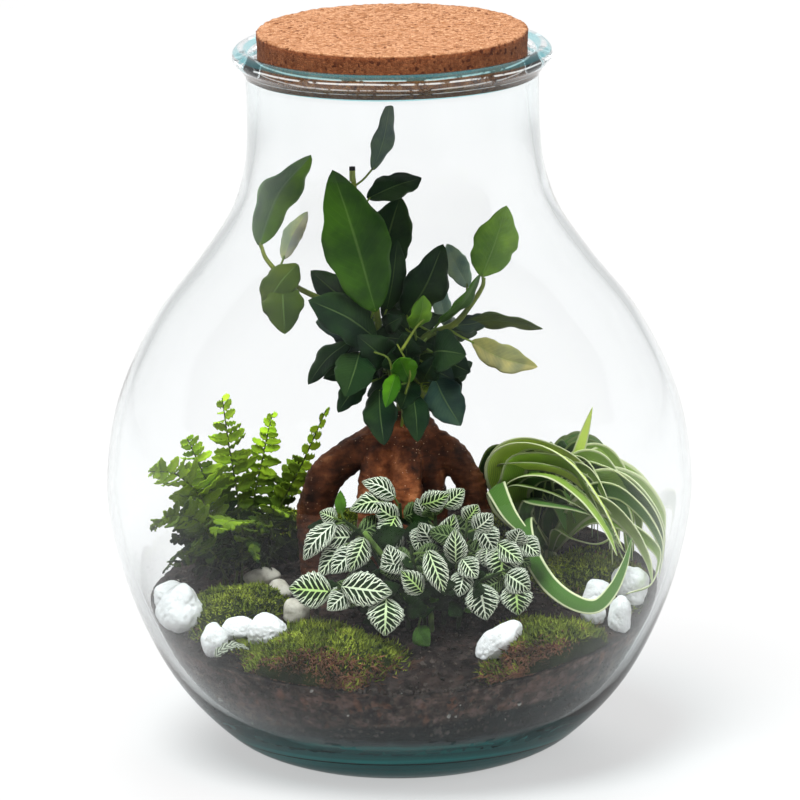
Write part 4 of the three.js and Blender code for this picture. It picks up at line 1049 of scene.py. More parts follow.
def cork_stopper():
    bevel = 1
    side = [(lerp(CORK_BOTTOM_RADIUS, CORK_TOP_RADIUS, k),
             lerp(CORK_BOTTOM + bevel, CORK_TOP - bevel, k)) for k in np.linspace(0, 1, 10)]
    profile = (level(0, CORK_BOTTOM_RADIUS - bevel, 24, CORK_BOTTOM) + side
               + level(CORK_TOP_RADIUS - bevel, 0, 48, CORK_TOP))

    def wobble(ring):
        dent = np.minimum(bumps(ring, 2.6, 0.45, seed=5) + bumps(ring, 9, 0.25, seed=6) - 0.25, 0)
        return pushed(ring, dent) + np.outer(np.where(ring[:, 2] > CORK_TOP - 0.1, dent, 0), UP)

    turned_piece("cork_stopper", profile, 220, wobble, cork_material())


def drainage_gravel():
    side = [(room_radius(z + GAP) - GAP, z) for z in np.linspace(FLOOR + 2.5, GRAVEL_TOP, 14)]
    profile = (level(0, FLOOR_RADIUS - 2, 12, FLOOR + GAP) + side
               + level(room_radius(GRAVEL_TOP) - 2, 0, 24, GRAVEL_TOP))

    def wobble(ring):
        dent = np.minimum(bumps(ring, 4, 1.3, seed=8) - 0.3, 0)
        return pushed(ring, dent * smoothstep(ring[:, 2], 20, 27))

    turned_piece("drainage_gravel", profile, 180, wobble, gravel_material())


def soil():
    segments, side_steps, top_rings = 280, 22, 84
    clear = 0.3  # room to the glass, besides the gap
    angles = even_angles(segments)
    bottom = GRAVEL_TOP + GAP
    edge = np.full(segments, float(room_radius(70)) - GAP)
    for _ in range(8):
        edge = room_radius(soil_top(edge * np.cos(angles), edge * np.sin(angles))) - GAP - clear
    top_edge = soil_top(edge * np.cos(angles), edge * np.sin(angles))
    rings = [polar((room_radius(bottom) - GAP) * share, angles, bottom) for share in (0.35, 0.7)]
    for k in range(side_steps + 1):
        z = lerp(bottom, top_edge, k / side_steps)
        reach = room_radius(z) - GAP - clear
        ring = polar(reach, angles, z)
        if k > 0:
            dent = np.minimum(bumps(ring, 3, 0.9, seed=9) - 0.15, 0)
            ring[:, :2] *= (1 + dent / reach)[:, None]
        rings.append(ring)
    for k in range(1, top_rings):
        ring = polar(edge * (1 - k / top_rings), angles, 0)
        ring[:, 2] = soil_top(ring[:, 0], ring[:, 1])
        ring[:, 2] += bumps(ring, 6, 1.4, seed=11) + bumps(ring, 3.7, 0.7, seed=12) - 0.3
        rings.append(ring)
    shape = Shape()
    points = np.vstack([[0, 0, bottom], *rings, [0, 0, ground_at(0, 0)]])
    shape.add(points, ring_faces(len(rings), segments))
    shape.build("soil_fine", soil_material(), ["soil"])


def unit_ball(subdivisions):
    ball = bmesh.new()
    bmesh.ops.create_icosphere(ball, subdivisions=subdivisions, radius=1)
    ball.verts.ensure_lookup_table()
    points = np.array([v.co[:] for v in ball.verts])
    faces = [tuple(v.index for v in face.verts) for face in ball.faces]
    ball.free()
    return points, faces


def repeated(faces, size, count):
    """The faces of many equal forms with that many points each."""
    return [tuple(size * k + c for c in face) for k in range(count) for face in faces]


def soil_crumbs():
    """Loose crumbs on the soil and along the glass, a few of them white perlite."""
    chance = np.random.default_rng(17)
    count = 5200
    corners, faces = unit_ball(1)
    at = polar(118 * np.sqrt(chance.random(count)), chance.uniform(-math.pi, math.pi, count), 0)
    at[:, 2] = soil_top(at[:, 0], at[:, 1]) - 0.1
    at = keep_inside(at, 1.6)
    wall = chance.random(count) < 0.35
    lean = chance.normal(-math.pi / 2, 0.75, count)
    high = chance.uniform(GRAVEL_TOP + 2, 60, count)
    at[wall] = polar(room_radius(high) - 1.5, lean, high)[wall]
    size = 0.45 + 1.2 * chance.random((count, 1)) ** 3.0
    stretch = chance.uniform(0.6, 1.25, (count, 3)) * size
    lumps = 1 + 0.28 * chance.normal(0, 1, (count, len(corners), 1)).clip(-1.5, 1.5)
    points = at[:, None, :] + corners[None] * stretch[:, None, :] * lumps
    over = np.hypot(points[..., 0], points[..., 1]) / (room_radius(points[..., 2]) - 0.3)
    points[..., :2] /= np.maximum(over, 1)[..., None]
    colours = np.array([0.030, 0.024, 0.021]) * chance.uniform(0.25, 2.6, (count, 1))
    colours[chance.random(count) < 0.014] = (0.40, 0.39, 0.36)
    shape = Shape()
    shape.add(points, repeated(faces, len(corners), count), None,
              np.repeat(colours, len(corners), axis=0))
    shape.build("soil_crumbs", crumb_material(), [], smooth=False)


# ---- Stones and moss ----------------------------------------------------------------------------
BALL_POINTS, BALL_FACES = unit_ball(5)


def turn_matrix(degrees, axis):
    return np.array(Matrix.Rotation(math.radians(degrees), 3, axis))


def stone(row, paints):
    name, x, y, half_x, half_y, half_z, turn, lean, seed = row
    white = name.startswith("white")
    p = BALL_POINTS.copy()
    lump = (1 + 0.1 * np.sin(3.1 * p[:, 0] + seed * 1.7) * np.cos(2.7 * p[:, 1] + seed)
            + 0.06 * np.sin(4.3 * p[:, 2] + seed * 2.3))
    p *= lump[:, None]
    pits = np.minimum(bumps(BALL_POINTS, 0.16, 0.12, seed + 20), 0)
    relief = bumps(BALL_POINTS, 0.55, 0.10, seed) + pits
    p *= (1 + (relief if white else relief * 0.35))[:, None]
    p = p * (half_x, half_y, half_z)
    p = p @ turn_matrix(lean, "Y").T @ turn_matrix(turn, "Z").T
    reach = math.hypot(half_z * math.cos(math.radians(lean)), half_x * math.sin(math.radians(lean)))
    p += (x, y, ground_at(x, y) + reach * (1 - 2 * STONE_SINK))
    p[:, 2] = np.maximum(p[:, 2], soil_top(p[:, 0], p[:, 1]) + SEAT_GAP * 0.5)
    shape = Shape()
    shape.add(p, BALL_FACES)
    slot = "white_stone" if white else "grey_stone"
    shape.build(name + "_fine", paints[slot], [name])


def laid(x, y, u, v, turn):
    """Place of (u, v) round (x, y) when turned by that many degrees."""
    c, s = math.cos(math.radians(turn)), math.sin(math.radians(turn))
    return x + c * u - s * v, y + s * u + c * v


def all_round(sectors):
    return np.linspace(-math.pi, math.pi, sectors, endpoint=False)


def cushion_point(row, radius, level, angle):
    _, x, y, length, width, height, turn, seed = row
    px, py = radius * np.cos(angle), radius * np.sin(angle)
    lobe = 1 + 0.1 * np.sin(3 * angle + seed) + 0.06 * np.sin(5 * angle + 2 * seed)
    hummock = np.where(level > 0, 0.12 * np.sin(5 * px + seed) * np.cos(4 * py + seed), 0)
    gx, gy = laid(x, y, px * length * lobe, py * width * lobe, turn)
    p = keep_inside(np.stack([gx, gy, soil_top(gx, gy) + height * (level + hummock)], axis=-1))
    p[..., 2] = np.maximum(p[..., 2], soil_top(p[..., 0], p[..., 1]) + SEAT_GAP * 0.4)
    return p


def tufts(shape, bases, leans, lengths, width, bends, colours):
    """Short tapering blades with three sides: one for each row of the arrays."""
    leans = leans / np.linalg.norm(leans, axis=1)[:, None]
    helper = np.where(np.abs(leans[:, :1]) < 0.8, [[1.0, 0, 0]], [[0, 1.0, 0]])
    sides = np.cross(leans, helper)
    sides *= (width / np.linalg.norm(sides, axis=1))[:, None]
    overs = np.cross(leans, sides)
    bases = bases - leans * 0.8
    corners = [bases + sides, bases - sides / 2 + overs * 0.87, bases - sides / 2 - overs * 0.87]
    lift = leans * lengths[:, None]
    middles = [c + lift * 0.55 + (bases - c) * 0.25 + bends * 0.3 for c in corners]
    points = keep_inside(np.stack(corners + middles + [bases + lift + bends], axis=1), 0.5)
    blade = [(0, 2, 1), (0, 1, 4, 3), (1, 2, 5, 4), (2, 0, 3, 5), (3, 4, 6), (4, 5, 6), (5, 3, 6)]
    shape.add(points, repeated(blade, 7, len(bases)), None, np.repeat(colours, 7, axis=0))


# Radius and level of a cushion's outline, as shares of its half widths and its height
MOSS_PROFILE = np.array([[0, -1], [0.5, -1], [0.95, -1], [1, 0.25], [0.86, 0.62], [0.5, 0.92],
                         [0, 1.04]])
MOSS_LOW = np.array([0.012, 0.020, 0.004])
MOSS_HIGH = np.array([0.340, 0.430, 0.060])
MOSS_DRY = np.array([0.165, 0.080, 0.054])
TUFT_WIDTH = 0.42


def moss_tufts(shape, chance, bases, outward, length, dry):
    """Blades on moss at the given places. dry is each one's share of red-brown."""
    count = len(bases)
    leans = np.array([0, 0, 1.1]) + outward * 0.8 + chance.normal(0, 0.5, (count, 3))
    lengths = length * chance.uniform(0.5, 1.25, count)
    bends = chance.normal(0, 0.25, (count, 3)) * lengths[:, None] - [0, 0, 0.1]
    green = chance.random((count, 1)) ** 1.6
    clump = bumps(bases, 7, 0.6, seed=31)[:, None] + 0.45
    colours = lerp(MOSS_LOW, MOSS_HIGH, np.clip(green * 0.8 + clump * 0.35, 0, 1))
    brown = chance.random(count) < dry
    colours[brown] = MOSS_DRY * chance.uniform(0.3, 1.7, (int(brown.sum()), 1))
    leans[brown] += [0, -0.9, -1.1]
    lengths[brown] *= 1.5
    tufts(shape, bases, leans, lengths, TUFT_WIDTH, bends, colours)


def moss_relief(points, seed):
    return bumps(points, 4.5, 1.6, seed) + bumps(points, 1.8, 0.8, seed)


def moss(row, material):
    """A cushion under short blades. Those in front have more and longer ones, in part red-brown."""
    name, x, y, length, width, _, _, seed = row
    front = "front" in name
    count, blade = (5200, 3.0) if front else (3400, 2.1)
    chance = np.random.default_rng(100 + seed)
    corners = len(MOSS_PROFILE)
    steps = np.linspace(0, corners - 1, 40)
    radius, level = [np.interp(steps, range(corners), column) for column in MOSS_PROFILE.T]
    sectors = 72
    rings = [cushion_point(row, np.full(sectors, max(r, 1e-4)), np.full(sectors, h),
                           all_round(sectors)) for r, h in zip(radius[1:-1], level[1:-1])]
    under, top = [cushion_point(row, np.zeros(1), np.array([h]), np.zeros(1)) for h in (-1, 1.04)]
    points = np.vstack([under, *rings, top])
    upper = points[:, 2] > soil_top(points[:, 0], points[:, 1]) + 1.5
    points[:, 2] += np.where(upper, moss_relief(points, seed), 0)
    shape = Shape()
    shape.add(points, ring_faces(len(rings), sectors), None, MOSS_LOW * 1.2)
    angle = chance.uniform(-math.pi, math.pi, count)
    r = np.sqrt(chance.random(count))
    h = np.interp(r, [0, 0.5, 0.86, 1], [1.04, 0.92, 0.62, 0.1])
    rim = chance.random(count) < 0.2
    r[rim] = 1.0
    h[rim] = chance.uniform(-0.2, 0.5, int(rim.sum()))
    bases = cushion_point(row, r, h, angle)
    bases[:, 2] += moss_relief(bases, seed)
    outward = (bases - [x, y, 0]) * [1, 1, 0] / length
    dry = np.zeros(count)
    if front:
        dry = np.clip(((y - bases[:, 1]) / width - 0.1) * 1.8, 0.02, 0.9)
    moss_tufts(shape, chance, bases, outward, blade, dry)
    shape.build(name + "_fine", material, [name], smooth=False)


# name, x, y, half length, half width, turn, height, tufts, length, share of red-brown in front
MOSS_PATCHES = [
    ["moss_carpet_front_left", -42, -86, 38, 33, 8, 5, 9000, 3.9, 0.85],
    ["moss_carpet_front_right", 71, -86, 33, 36, -12, 4, 7400, 3.7, 0.9],
    ["moss_carpet_right", 92, 0, 30, 40, 0, 4, 3600, 2.8, 0.05],
    ["moss_carpet_left", -82, -34, 26, 32, 0, 3, 3200, 2.6, 0.05],
    ["moss_carpet_back_left", -40, 74, 44, 34, -15, 3, 4200, 2.8, 0.1],
    ["moss_carpet_back_right", 50, 74, 40, 32, 20, 3, 3800, 2.8, 0.1],
]


def moss_patch(row, material):
    """A low mound of moss that runs out into the soil round a cushion."""
    name, x, y, half_x, half_y, turn, height, count, length, brown = row
    chance = np.random.default_rng(len(name) + count)

    def place(radius, angle):
        lobe = 1 + 0.10 * np.sin(3 * angle + x) + 0.08 * np.sin(5 * angle + y)
        u, v = radius * lobe * half_x * np.cos(angle), radius * lobe * half_y * np.sin(angle)
        gx, gy = laid(x, y, u, v, turn)
        p = keep_inside(np.stack([gx, gy, soil_top(gx, gy) + 1], axis=-1))
        mound = height * np.clip(1 - radius ** 2, 0, 1) ** 0.6 - 0.9
        p[..., 2] = soil_top(p[..., 0], p[..., 1]) + mound
        p[..., 2] += (bumps(p, 6, 2.4, 3) + bumps(p, 2.2, 0.9, 4)) * np.clip(1.3 - radius, 0, 1)
        return p

    sectors = 96
    lower, upper = [[place(np.full(sectors, r), all_round(sectors)) for r in radii]
                    for radii in ((0.4, 0.8, 0.99), np.linspace(1, 0.04, 30))]
    for ring in lower:
        ring[:, 2] = soil_top(ring[:, 0], ring[:, 1]) - 3
    rings = lower + upper
    top = place(np.zeros(1), np.zeros(1))
    shape = Shape()
    shape.add(np.vstack([top - [0, 0, height + 2], *rings, top]), ring_faces(len(rings), sectors),
              None, MOSS_LOW)
    radius = np.sqrt(chance.random(count)) * chance.uniform(0.85, 1.08, count)
    bases = place(radius, chance.uniform(-math.pi, math.pi, count))
    bare = np.zeros(count, bool)
    for _, sx, sy, hx, hy, *_ in STONES:
        bare |= np.hypot((bases[:, 0] - sx) / (hx * 0.95), (bases[:, 1] - sy) / (hy * 0.95)) < 1
    bases = bases[~bare]
    outward = (bases - [x, y, 0]) * [1, 1, 0] / half_x
    front = np.clip((y - bases[:, 1]) / half_y + 0.1, 0, 1)
    moss_tufts(shape, chance, bases, outward, length, brown * front + 0.05)
    shape.build(name, material, [], smooth=False)


# ---- Ficus --------------------------------------------------------------------------------------
SCARS = [((20, -12, 147), 3.6), ((31, -8, 147), 3.2)]  # centre and size of the pale cuts


def ficus_trunk():
    """Roots and crown, joined into one skin with bark relief, pale cuts and painted light: lighter
    in the middle, darker to the left and right.
    """
    sides = 28
    limbs = Shape()
    for root in ROOTS:
        x, y = root["path"][-1][:2]
        ground = ground_at(x, y)
        rows = stations(root["path"][:-1] + [[x, y, ground + 5]], 0, 26)
        radii = [lerp(root["start"], root["end"], t) * (1 + 0.06 * math.sin(9 * t + x))
                 for t, *_ in rows]
        limb = bars(rows)
        side = unit(limb[-1][2] * (1, 1, 0))
        for k in range(1, 6):
            z = lerp(ground + 5, ground - HOLE_DEPTH + 1, k / 5)
            limb.append((np.array([x, y, z]), -UP, side))
            radii.append(root["end"] * 0.94)
        tube(limbs, limb, radii, sides)
    rows = stations(CROWN, 0, 24)
    radii = [float(np.interp(t * 4, range(5), [5, 10.5, 11.5, 10.5, 5])) for t, *_ in rows]
    tube(limbs, bars(rows), radii, sides)
    piece = limbs.build("ficus_trunk_fine", bark_material(), [])
    remesh = piece.modifiers.new("join", "REMESH")
    remesh.mode = "VOXEL"
    remesh.voxel_size = 0.85 * MM
    smooth = piece.modifiers.new("smooth", "SMOOTH")
    smooth.factor = 0.5
    smooth.iterations = 6
    evaluated = piece.evaluated_get(bpy.context.evaluated_depsgraph_get())
    mesh = bpy.data.meshes.new_from_object(evaluated)
    piece.modifiers.clear()
    old, piece.data = piece.data, mesh
    bpy.data.meshes.remove(old)
    count = len(mesh.vertices)
    points, normals = np.empty(count * 3), np.empty(count * 3)
    mesh.vertices.foreach_get("co", points)
    mesh.vertices.foreach_get("normal", normals)
    points, normals = points.reshape(-1, 3) / MM, normals.reshape(-1, 3)
    relief = (bumps(points, 11, 1.1, 1) + bumps(points * (0.35, 0.35, 1.6), 2.6, 0.7, 2)
              + bumps(points, 2.2, 0.35, 4))
    points = points + normals * relief[:, None]
    mesh.vertices.foreach_set("co", (points * MM).ravel())
    colours = np.ones((count, 4))
    # Painted light and shade: the middle roots lighter, as lit, and those to the left and right
    # darker, as shaded.
    colours[:, :3] *= (0.55 + 1.7 * np.exp(-(points[:, 0] / 15) ** 2))[:, None]
    for centre, size in SCARS:
        near = np.linalg.norm(points - centre, axis=1)
        amount = 1 - smoothstep(near, size * 0.6, size * 1.5)
        colours[:, :3] = lerp(colours[:, :3], np.array([3.4, 3.6, 2.6]), amount[:, None])
    tint = mesh.attributes.get("tint") or mesh.attributes.new("tint", "FLOAT_COLOR", "POINT")
    tint.data.foreach_set("color", colours.ravel())
    mesh.polygons.foreach_set("use_smooth", [True] * len(mesh.polygons))
    mesh.update()
    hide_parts("ficus_trunk")


# Two colours of each kind of leaf, left and right of the midrib: in part painted light, with one
# half painted as catching more light than the other, and the two-toned leaf's left half a painted
# pale bluish reflection.
LEAF_COLOURS = {
    "D": ((0.010, 0.030, 0.012), (0.017, 0.042, 0.015)),
    "M": ((0.034, 0.105, 0.006), (0.024, 0.078, 0.006)),
    "T": ((0.080, 0.165, 0.070), (0.085, 0.205, 0.008)),
    "B": ((0.120, 0.260, 0.016), (0.165, 0.330, 0.026)),
    "O": ((0.040, 0.070, 0.010), (0.062, 0.095, 0.012)),
    "U": ((0.022, 0.048, 0.036), (0.034, 0.070, 0.052)),
    "G": ((0.070, 0.120, 0.092), (0.095, 0.150, 0.110)),
    "N": ((0.030, 0.115, 0.006), (0.060, 0.190, 0.008)),
    "P": ((0.50, 0.54, 0.30), (0.42, 0.42, 0.32)),
    "F": ((0.34, 0.46, 0.38), (0.26, 0.38, 0.30)),
    "Y": ((0.38, 0.39, 0.16), (0.50, 0.48, 0.22)),
}
# One letter for each leaf in the list: dark, main, two-toned, bright, olive, bluish, grey, new,
# pale, faded or yellowish. The dark ones are painted shade.
LEFT_TONES = "MDDGDTPOODDDDDDDD"
RIGHT_TONES = "DBBFFMOYDUDDDD"
FRONT_TONES = "DNDN"
TWIG = (0.075, 0.105, 0.024)
NEW_TWIG = (0.20, 0.26, 0.045)
# Thin young twigs among the leaves
LEFT_TWIGS = [
    [[1, 3, 152], [2, -8, 164], [3, -16, 176], [6, -20, 190], [0, -20, 203]],
    [[3, -14, 173], [-2, -18, 185], [-4, -20, 196], [-11, -18, 199]],
    [[2, -20, 200], [9, -18, 210], [13, -18, 214]],
]
# The cut top of the left stem: heights from the end of its path, start radius, colour
STEM_CUT = [((-6, -3, 0), 1.55, (0.30, 0.38, 0.10)), ((-0.2, 0.8, 1.6), 1.6, (0.006, 0.006, 0.004))]


def ficus_blade(shape, foot, row, tone, phase):
    fold = 0.16 if row[2] >= 19 else 0.10

    def lift(across, t, width):
        wave = 0.15 * np.sin(t * 13 + phase + across * 1.4) * across ** 2 * math.sin(math.pi * t)
        curl = 0.14 * math.sin(phase * 1.9) * across * math.sin(math.pi * t)
        return width * (fold * np.abs(across) ** 1.4 - 0.12 * across ** 4 + wave + curl)

    def outline(t):
        ripple = 1 + 0.05 * math.sin(t * 15 + phase) + 0.03 * math.sin(t * 34 + 2 * phase)
        return leaf_outline(t, 0.92, 0.8) * ripple

    left, right = LEAF_COLOURS[tone]
    blade = len(shape.points)
    leaf(shape, foot, row, 26, 13, outline, lift, 0.5, left, (0.16, 0.24, 0.05), (phase * 0.37) % 1)
    shape.colours[blade][shape.places[blade][:, 0] > 0.02, :3] = right


def ficus_shoot(name, shoot_lists, tones, material):
    shape = Shape()
    stems = shoot_lists["stems"]
    for s in stems:
        stem(shape, s["path"], s["start"], s["end"] * 0.8, 30, s["foot"], 10, TWIG, NEW_TWIG)
    for k, row in enumerate(shoot_lists["leaves"]):
        base = np.array(row[0], float)
        feet = [nearest_foot(s["path"], base) for s in stems]
        foot = min(feet, key=lambda f: np.linalg.norm(f - base))
        ficus_blade(shape, foot, row, tones[k], k * 2.4)
    if name == "ficus_shoot_left":
        for path in LEFT_TWIGS:
            stem(shape, path, 0.75, 0.4, 14, 0, 7, NEW_TWIG)
        end = np.array(stems[0]["path"][-1], float)
        for heights, start, colour in STEM_CUT:
            stem(shape, [end + UP * height for height in heights], start, 1.5, 4, 0, 10, colour)
    shape.build(name + "_fine", material, [name])


def ficus_inner_leaves(material):
    """Small shaded leaves on short stalks inside the crown."""
    chance = random.Random(5)
    shape = Shape()
    paths = [arrays(shoot["stems"][0]["path"]) for shoot in (LEFT_SHOOT, RIGHT_SHOOT)]
    highest = [0.60, 0.52]  # share of each stem's path
    for k in range(46):
        foot = curve_point(paths[k % 2], chance.uniform(0.10, highest[k % 2]))
        angle = k * 2.4
        out = unit(np.array([math.cos(angle), math.sin(angle) * 0.9 + 0.35,
                             chance.uniform(-0.5, 0.7)]))
        base = foot + out * chance.uniform(4, 10)
        tip = base + out * chance.uniform(17, 27) + [0, 0, chance.uniform(-7, 5)]
        row = [base, tip, chance.uniform(10, 15), chance.uniform(-40, 40),
               chance.uniform(0.06, 0.18)]
        ficus_blade(shape, foot, row, chance.choice("DDDUD"), k * 1.7)
    shape.build("ficus_inner_leaves", material, [])


# ---- Fern, nerve plant, spider plant, fallen leaf ----------------------------------------------
FERN_SHADED = np.array([0.009, 0.030, 0.006])
FERN_LIT = np.array([0.560, 0.860, 0.045])
FERN_SHADE = 94  # painted shade: leaflets are dark up to this height
FERN_RISE = 50  # and painted brightest, as lit, this much higher


def leaflet(shape, at, out, forward, normal, reach, width, chance, colour, light):
    """One leaflet with a scalloped edge, from a rib at the point, along out and curving forward."""
    steps, columns = 9, 5
    t = np.linspace(0, 1, steps)[:, None]
    c = np.linspace(-1, 1, columns)[None, :]
    half = width * (0.25 + 0.95 * np.sin(math.pi * np.minimum(t * 0.88 + 0.12, 1)) ** 0.6)
    half = half * (1 + 0.20 * np.sin(t * 19 + chance.uniform(0, 6)))
    lean, roll = chance.normal(0, 0.20), chance.normal(0, 0.55)
    curl = chance.uniform(0.4, 1.6)
    over = forward * math.cos(roll) + normal * math.sin(roll)
    under = normal * math.cos(roll) - forward * math.sin(roll)
    ahead = (0.10 + lean + 0.12 * t) * t * reach
    sag = 0.012 * (t * reach) ** 2 * curl
    middle = out * (t * reach)[..., None] + forward * ahead[..., None] - normal * sag[..., None]
    spread = over * (c * half)[..., None]
    wave = under * (half * (0.28 * np.abs(c) + 0.30 * np.sin(t * 19 + 3 * c) * c * c))[..., None]
    places = np.zeros((steps, columns, 3))
    places[..., 0], places[..., 1], places[..., 2] = c, t, light
    plate(shape, keep_inside(at + middle + spread + wave), 0.3, places, colour)


def frond_blades(shape, path, reach, roll, pairs, seed, brightness):
    """Leaflets in pairs along a rib, with painted shade low down and painted light higher up, all
    times the brightness. Returns the rib.
    """
    chance = np.random.default_rng(seed)
    steps = 90
    rows = stations(path, roll, steps)
    length = sum(np.linalg.norm(b[1] - a[1]) for a, b in zip(rows, rows[1:]))
    width = min(0.52 * (1 - BARE_STALK) * length / pairs, 2.7)
    for i in range(pairs):
        s = (i + 0.3) / pairs
        size = reach * min(1, 0.55 + 1.4 * s) * (1 - 0.8 * s * s)
        for way in (-1, 1):
            t = BARE_STALK + (1 - BARE_STALK) * (s + (0.5 / pairs if way > 0 else 0))
            _, at, along, side, normal = rows[min(round(t * steps), steps)]
            # Painted light and shade: leaflets higher up painted brighter, as lit, and lower ones
            # darker, as shaded.
            height = float(np.clip((at[2] - FERN_SHADE) / FERN_RISE, 0, 1))
            light = height ** 1.6 * chance.uniform(0.45, 1.45) + chance.normal(0, 0.08)
            light = np.clip(light, 0, 1)
            colour = (FERN_SHADED + (FERN_LIT - FERN_SHADED) * light * (0.5 + 0.5 * s)) * brightness
            leaflet(shape, at, side * way, along, normal, size * chance.uniform(0.68, 1.12),
                    width * (1 - 0.3 * s), chance, tuple(colour), light)
    return [(keep_inside(at), along, side) for at, along, side in bars(rows)]


def grown(row):
    """Path of a stem or rib from just above the soil, and the height of the soil."""
    ground = ground_at(*row["foot"])
    return [[*row["foot"], ground + 3]] + row["path"], ground


def fern_frond(k, row, material):
    shape = Shape()
    path, ground = grown(row)
    pairs = 15 if row["leaflet"] > 10 else 12
    rib = frond_blades(shape, path, row["leaflet"], row["roll"], pairs, 40 + k, 1.0)[::3]
    rib.insert(0, (np.array([*row["foot"], ground - HOLE_DEPTH + 1.0]), UP, rib[0][2]))
    radii = [lerp(0.72, 0.28, i / len(rib)) for i in range(len(rib))]
    tube(shape, rib, radii, 6, (0.085, 0.12, 0.025))
    node = f"fern_frond_{k + 1:02d}"
    shape.build(node + "_fine", material, [node])


def fern_undergrowth(material):
    """Short shaded fronds between the large ones, down to the soil."""
    chance = random.Random(7)
    shape = Shape()
    centre = np.array([-78.0, 14.0, 0])
    for k in range(44):
        angle = chance.uniform(-math.pi, math.pi)
        reach = chance.uniform(14, 30)
        out = np.array([math.cos(angle), math.sin(angle), 0])
        foot = centre + out * chance.uniform(2, 11)
        ground = ground_at(foot[0], foot[1])
        high = chance.uniform(9, 30)
        path = [[foot[0], foot[1], ground + 2]]
        for share, rise in ((0.35, 0.65), (0.75, 1.0), (1.0, chance.uniform(0.5, 0.95))):
            spot = foot + out * reach * share
            path.append([spot[0], spot[1], ground + high * rise])
        # Painted shade: these fronds at half the brightness.
        rib = frond_blades(shape, path, chance.uniform(5.5, 9), chance.uniform(-25, 25), 9,
                           900 + k, 0.5)[::6]
        tube(shape, rib, [0.4] * len(rib), 5, (0.05, 0.075, 0.02))
    shape.build("fern_undergrowth", material, [])


def nerve_blade(shape, path, row, chance, colour):
    def lift(across, t, width):
        quilt = 0.06 * np.cos(t * 47 - np.abs(across) * 12)
        return width * (0.16 * np.abs(across) - 0.30 * across ** 2 + quilt * np.abs(across))

    def outline(t):
        return nerve_outline(t) * (1 + 0.055 * math.cos(t * 46 + row[0][0]) * math.sin(math.pi * t))

    leaf(shape, nearest_foot(path, np.array(row[0], float)), row, 36, 11, outline, lift, 0.45,
         colour, (0.10, 0.16, 0.045), chance)


def nerve_spray(k, row, material):
    shape = Shape()
    path, _ = grown(row)
    # Painted shade: the stems dark, as in the shade near the soil.
    stem(shape, path, 1.2, 0.8, 24, HOLE_DEPTH + 2, 9, (0.018, 0.034, 0.010))
    for i, leaf_row in enumerate(row["leaves"]):
        if leaf_row[2] < 9:
            nerve_blade(shape, path, leaf_row, -1, (0.060, 0.15, 0.018))
            continue
        young = (i * 7 + k * 3) % 4 == 0
        lime = 0.95 if young else 0.2 + 0.17 * ((i + k) % 3)
        nerve_blade(shape, path, leaf_row, lime, (0.008, 0.026, 0.006))
    node = f"nerve_spray_{k + 1:02d}"
    shape.build(node + "_fine", material, [node])


THICK_STEM = [[14, -60, 81], [5, -63, 92], [-6, -66, 108], [-17, -66, 123]]
# Small leaves without white veins at the foot of the thick stem, and the path they grow from
PLAIN_LEAVES = [
    [[7, -70, 77], [13, -78, 70], 11, 20, 0.12],
    [[13, -63, 88], [20, -66, 97], 8, -30, 0.10],
    [[10, -64, 86], [1, -70, 92], 8, 25, 0.12],
]
PLAIN_PATH = [[14, -60, 81], [12, -61, 84], [10, -62, 86]]


def nerve_undergrowth(material):
    """Small shaded leaves in pairs further down the nerve plant's stems, and the thick stem."""
    chance = random.Random(21)
    shape = Shape()
    count = 15
    for row in SPRAYS:
        path, _ = grown(row)
        points = arrays(path)
        for i in range(count):
            t = 0.12 + 0.85 * i / count
            upper = t > 0.4
            at = curve_point(points, t) + (0, 1, -4 if upper else 0)
            angle = i * 2.4 + row["foot"][0]
            out = np.array([math.cos(angle), math.sin(angle) * 0.8 + (0.6 if upper else -0.2),
                            chance.uniform(-0.35, 0.35)])
            reach = chance.uniform(13, 18)
            base = at + out * 3
            tip = at + out * (3 + reach) + [0, 0, chance.uniform(-4, 2)]
            ground = ground_at(tip[0], tip[1]) + 3
            tip[2], base[2] = max(tip[2], ground), max(base[2], ground - 1)
            blade = [base, tip, reach * chance.uniform(0.62, 0.75), 0, chance.uniform(0.06, 0.16)]
            veined = t > 0.5 and i % 2 == 0
            nerve_blade(shape, path, blade, -0.3 if veined else -1, (0.007, 0.022, 0.004))
    stem(shape, THICK_STEM, 1.5, 1.1, 20, 12, 9, (0.10, 0.17, 0.040))
    for blade in PLAIN_LEAVES:
        nerve_blade(shape, PLAIN_PATH, blade, -1, (0.050, 0.115, 0.022))
    shape.build("nerve_undergrowth", material, [])


# The darkest green is painted shade, for leaves deep inside the plant.
SPIDER_SHADED = (0.014, 0.040, 0.008)
SPIDER_GREEN = (0.058, 0.150, 0.024)
SPIDER_LIME = (0.48, 0.68, 0.115)
SPIDER_MID = (0.200, 0.350, 0.050)
SPIDER_PALE = (0.260, 0.400, 0.105)
# Broad leaves that hang down along the glass on the right
RIGHT_STRAPS = [
    [[74, 21, 91], [92, 8, 124], [108, 0, 128], [120, -6, 116], [127, -10, 100], [129, -13, 86]],
    [[74, 22, 91], [94, 16, 122], [112, 12, 124], [124, 8, 110], [129, 5, 94], [129, 3, 82]],
    [[74, 20, 91], [88, 0, 116], [100, -10, 119], [111, -18, 110], [118, -25, 97], [120, -30, 86]],
]
# One for each strap in the list
STRAP_COLOURS = [SPIDER_LIME, SPIDER_LIME, SPIDER_MID, SPIDER_LIME, SPIDER_GREEN, SPIDER_GREEN,
                 SPIDER_GREEN, SPIDER_GREEN, SPIDER_MID, SPIDER_MID, SPIDER_MID, SPIDER_GREEN,
                 SPIDER_GREEN, SPIDER_MID, SPIDER_GREEN, SPIDER_MID]
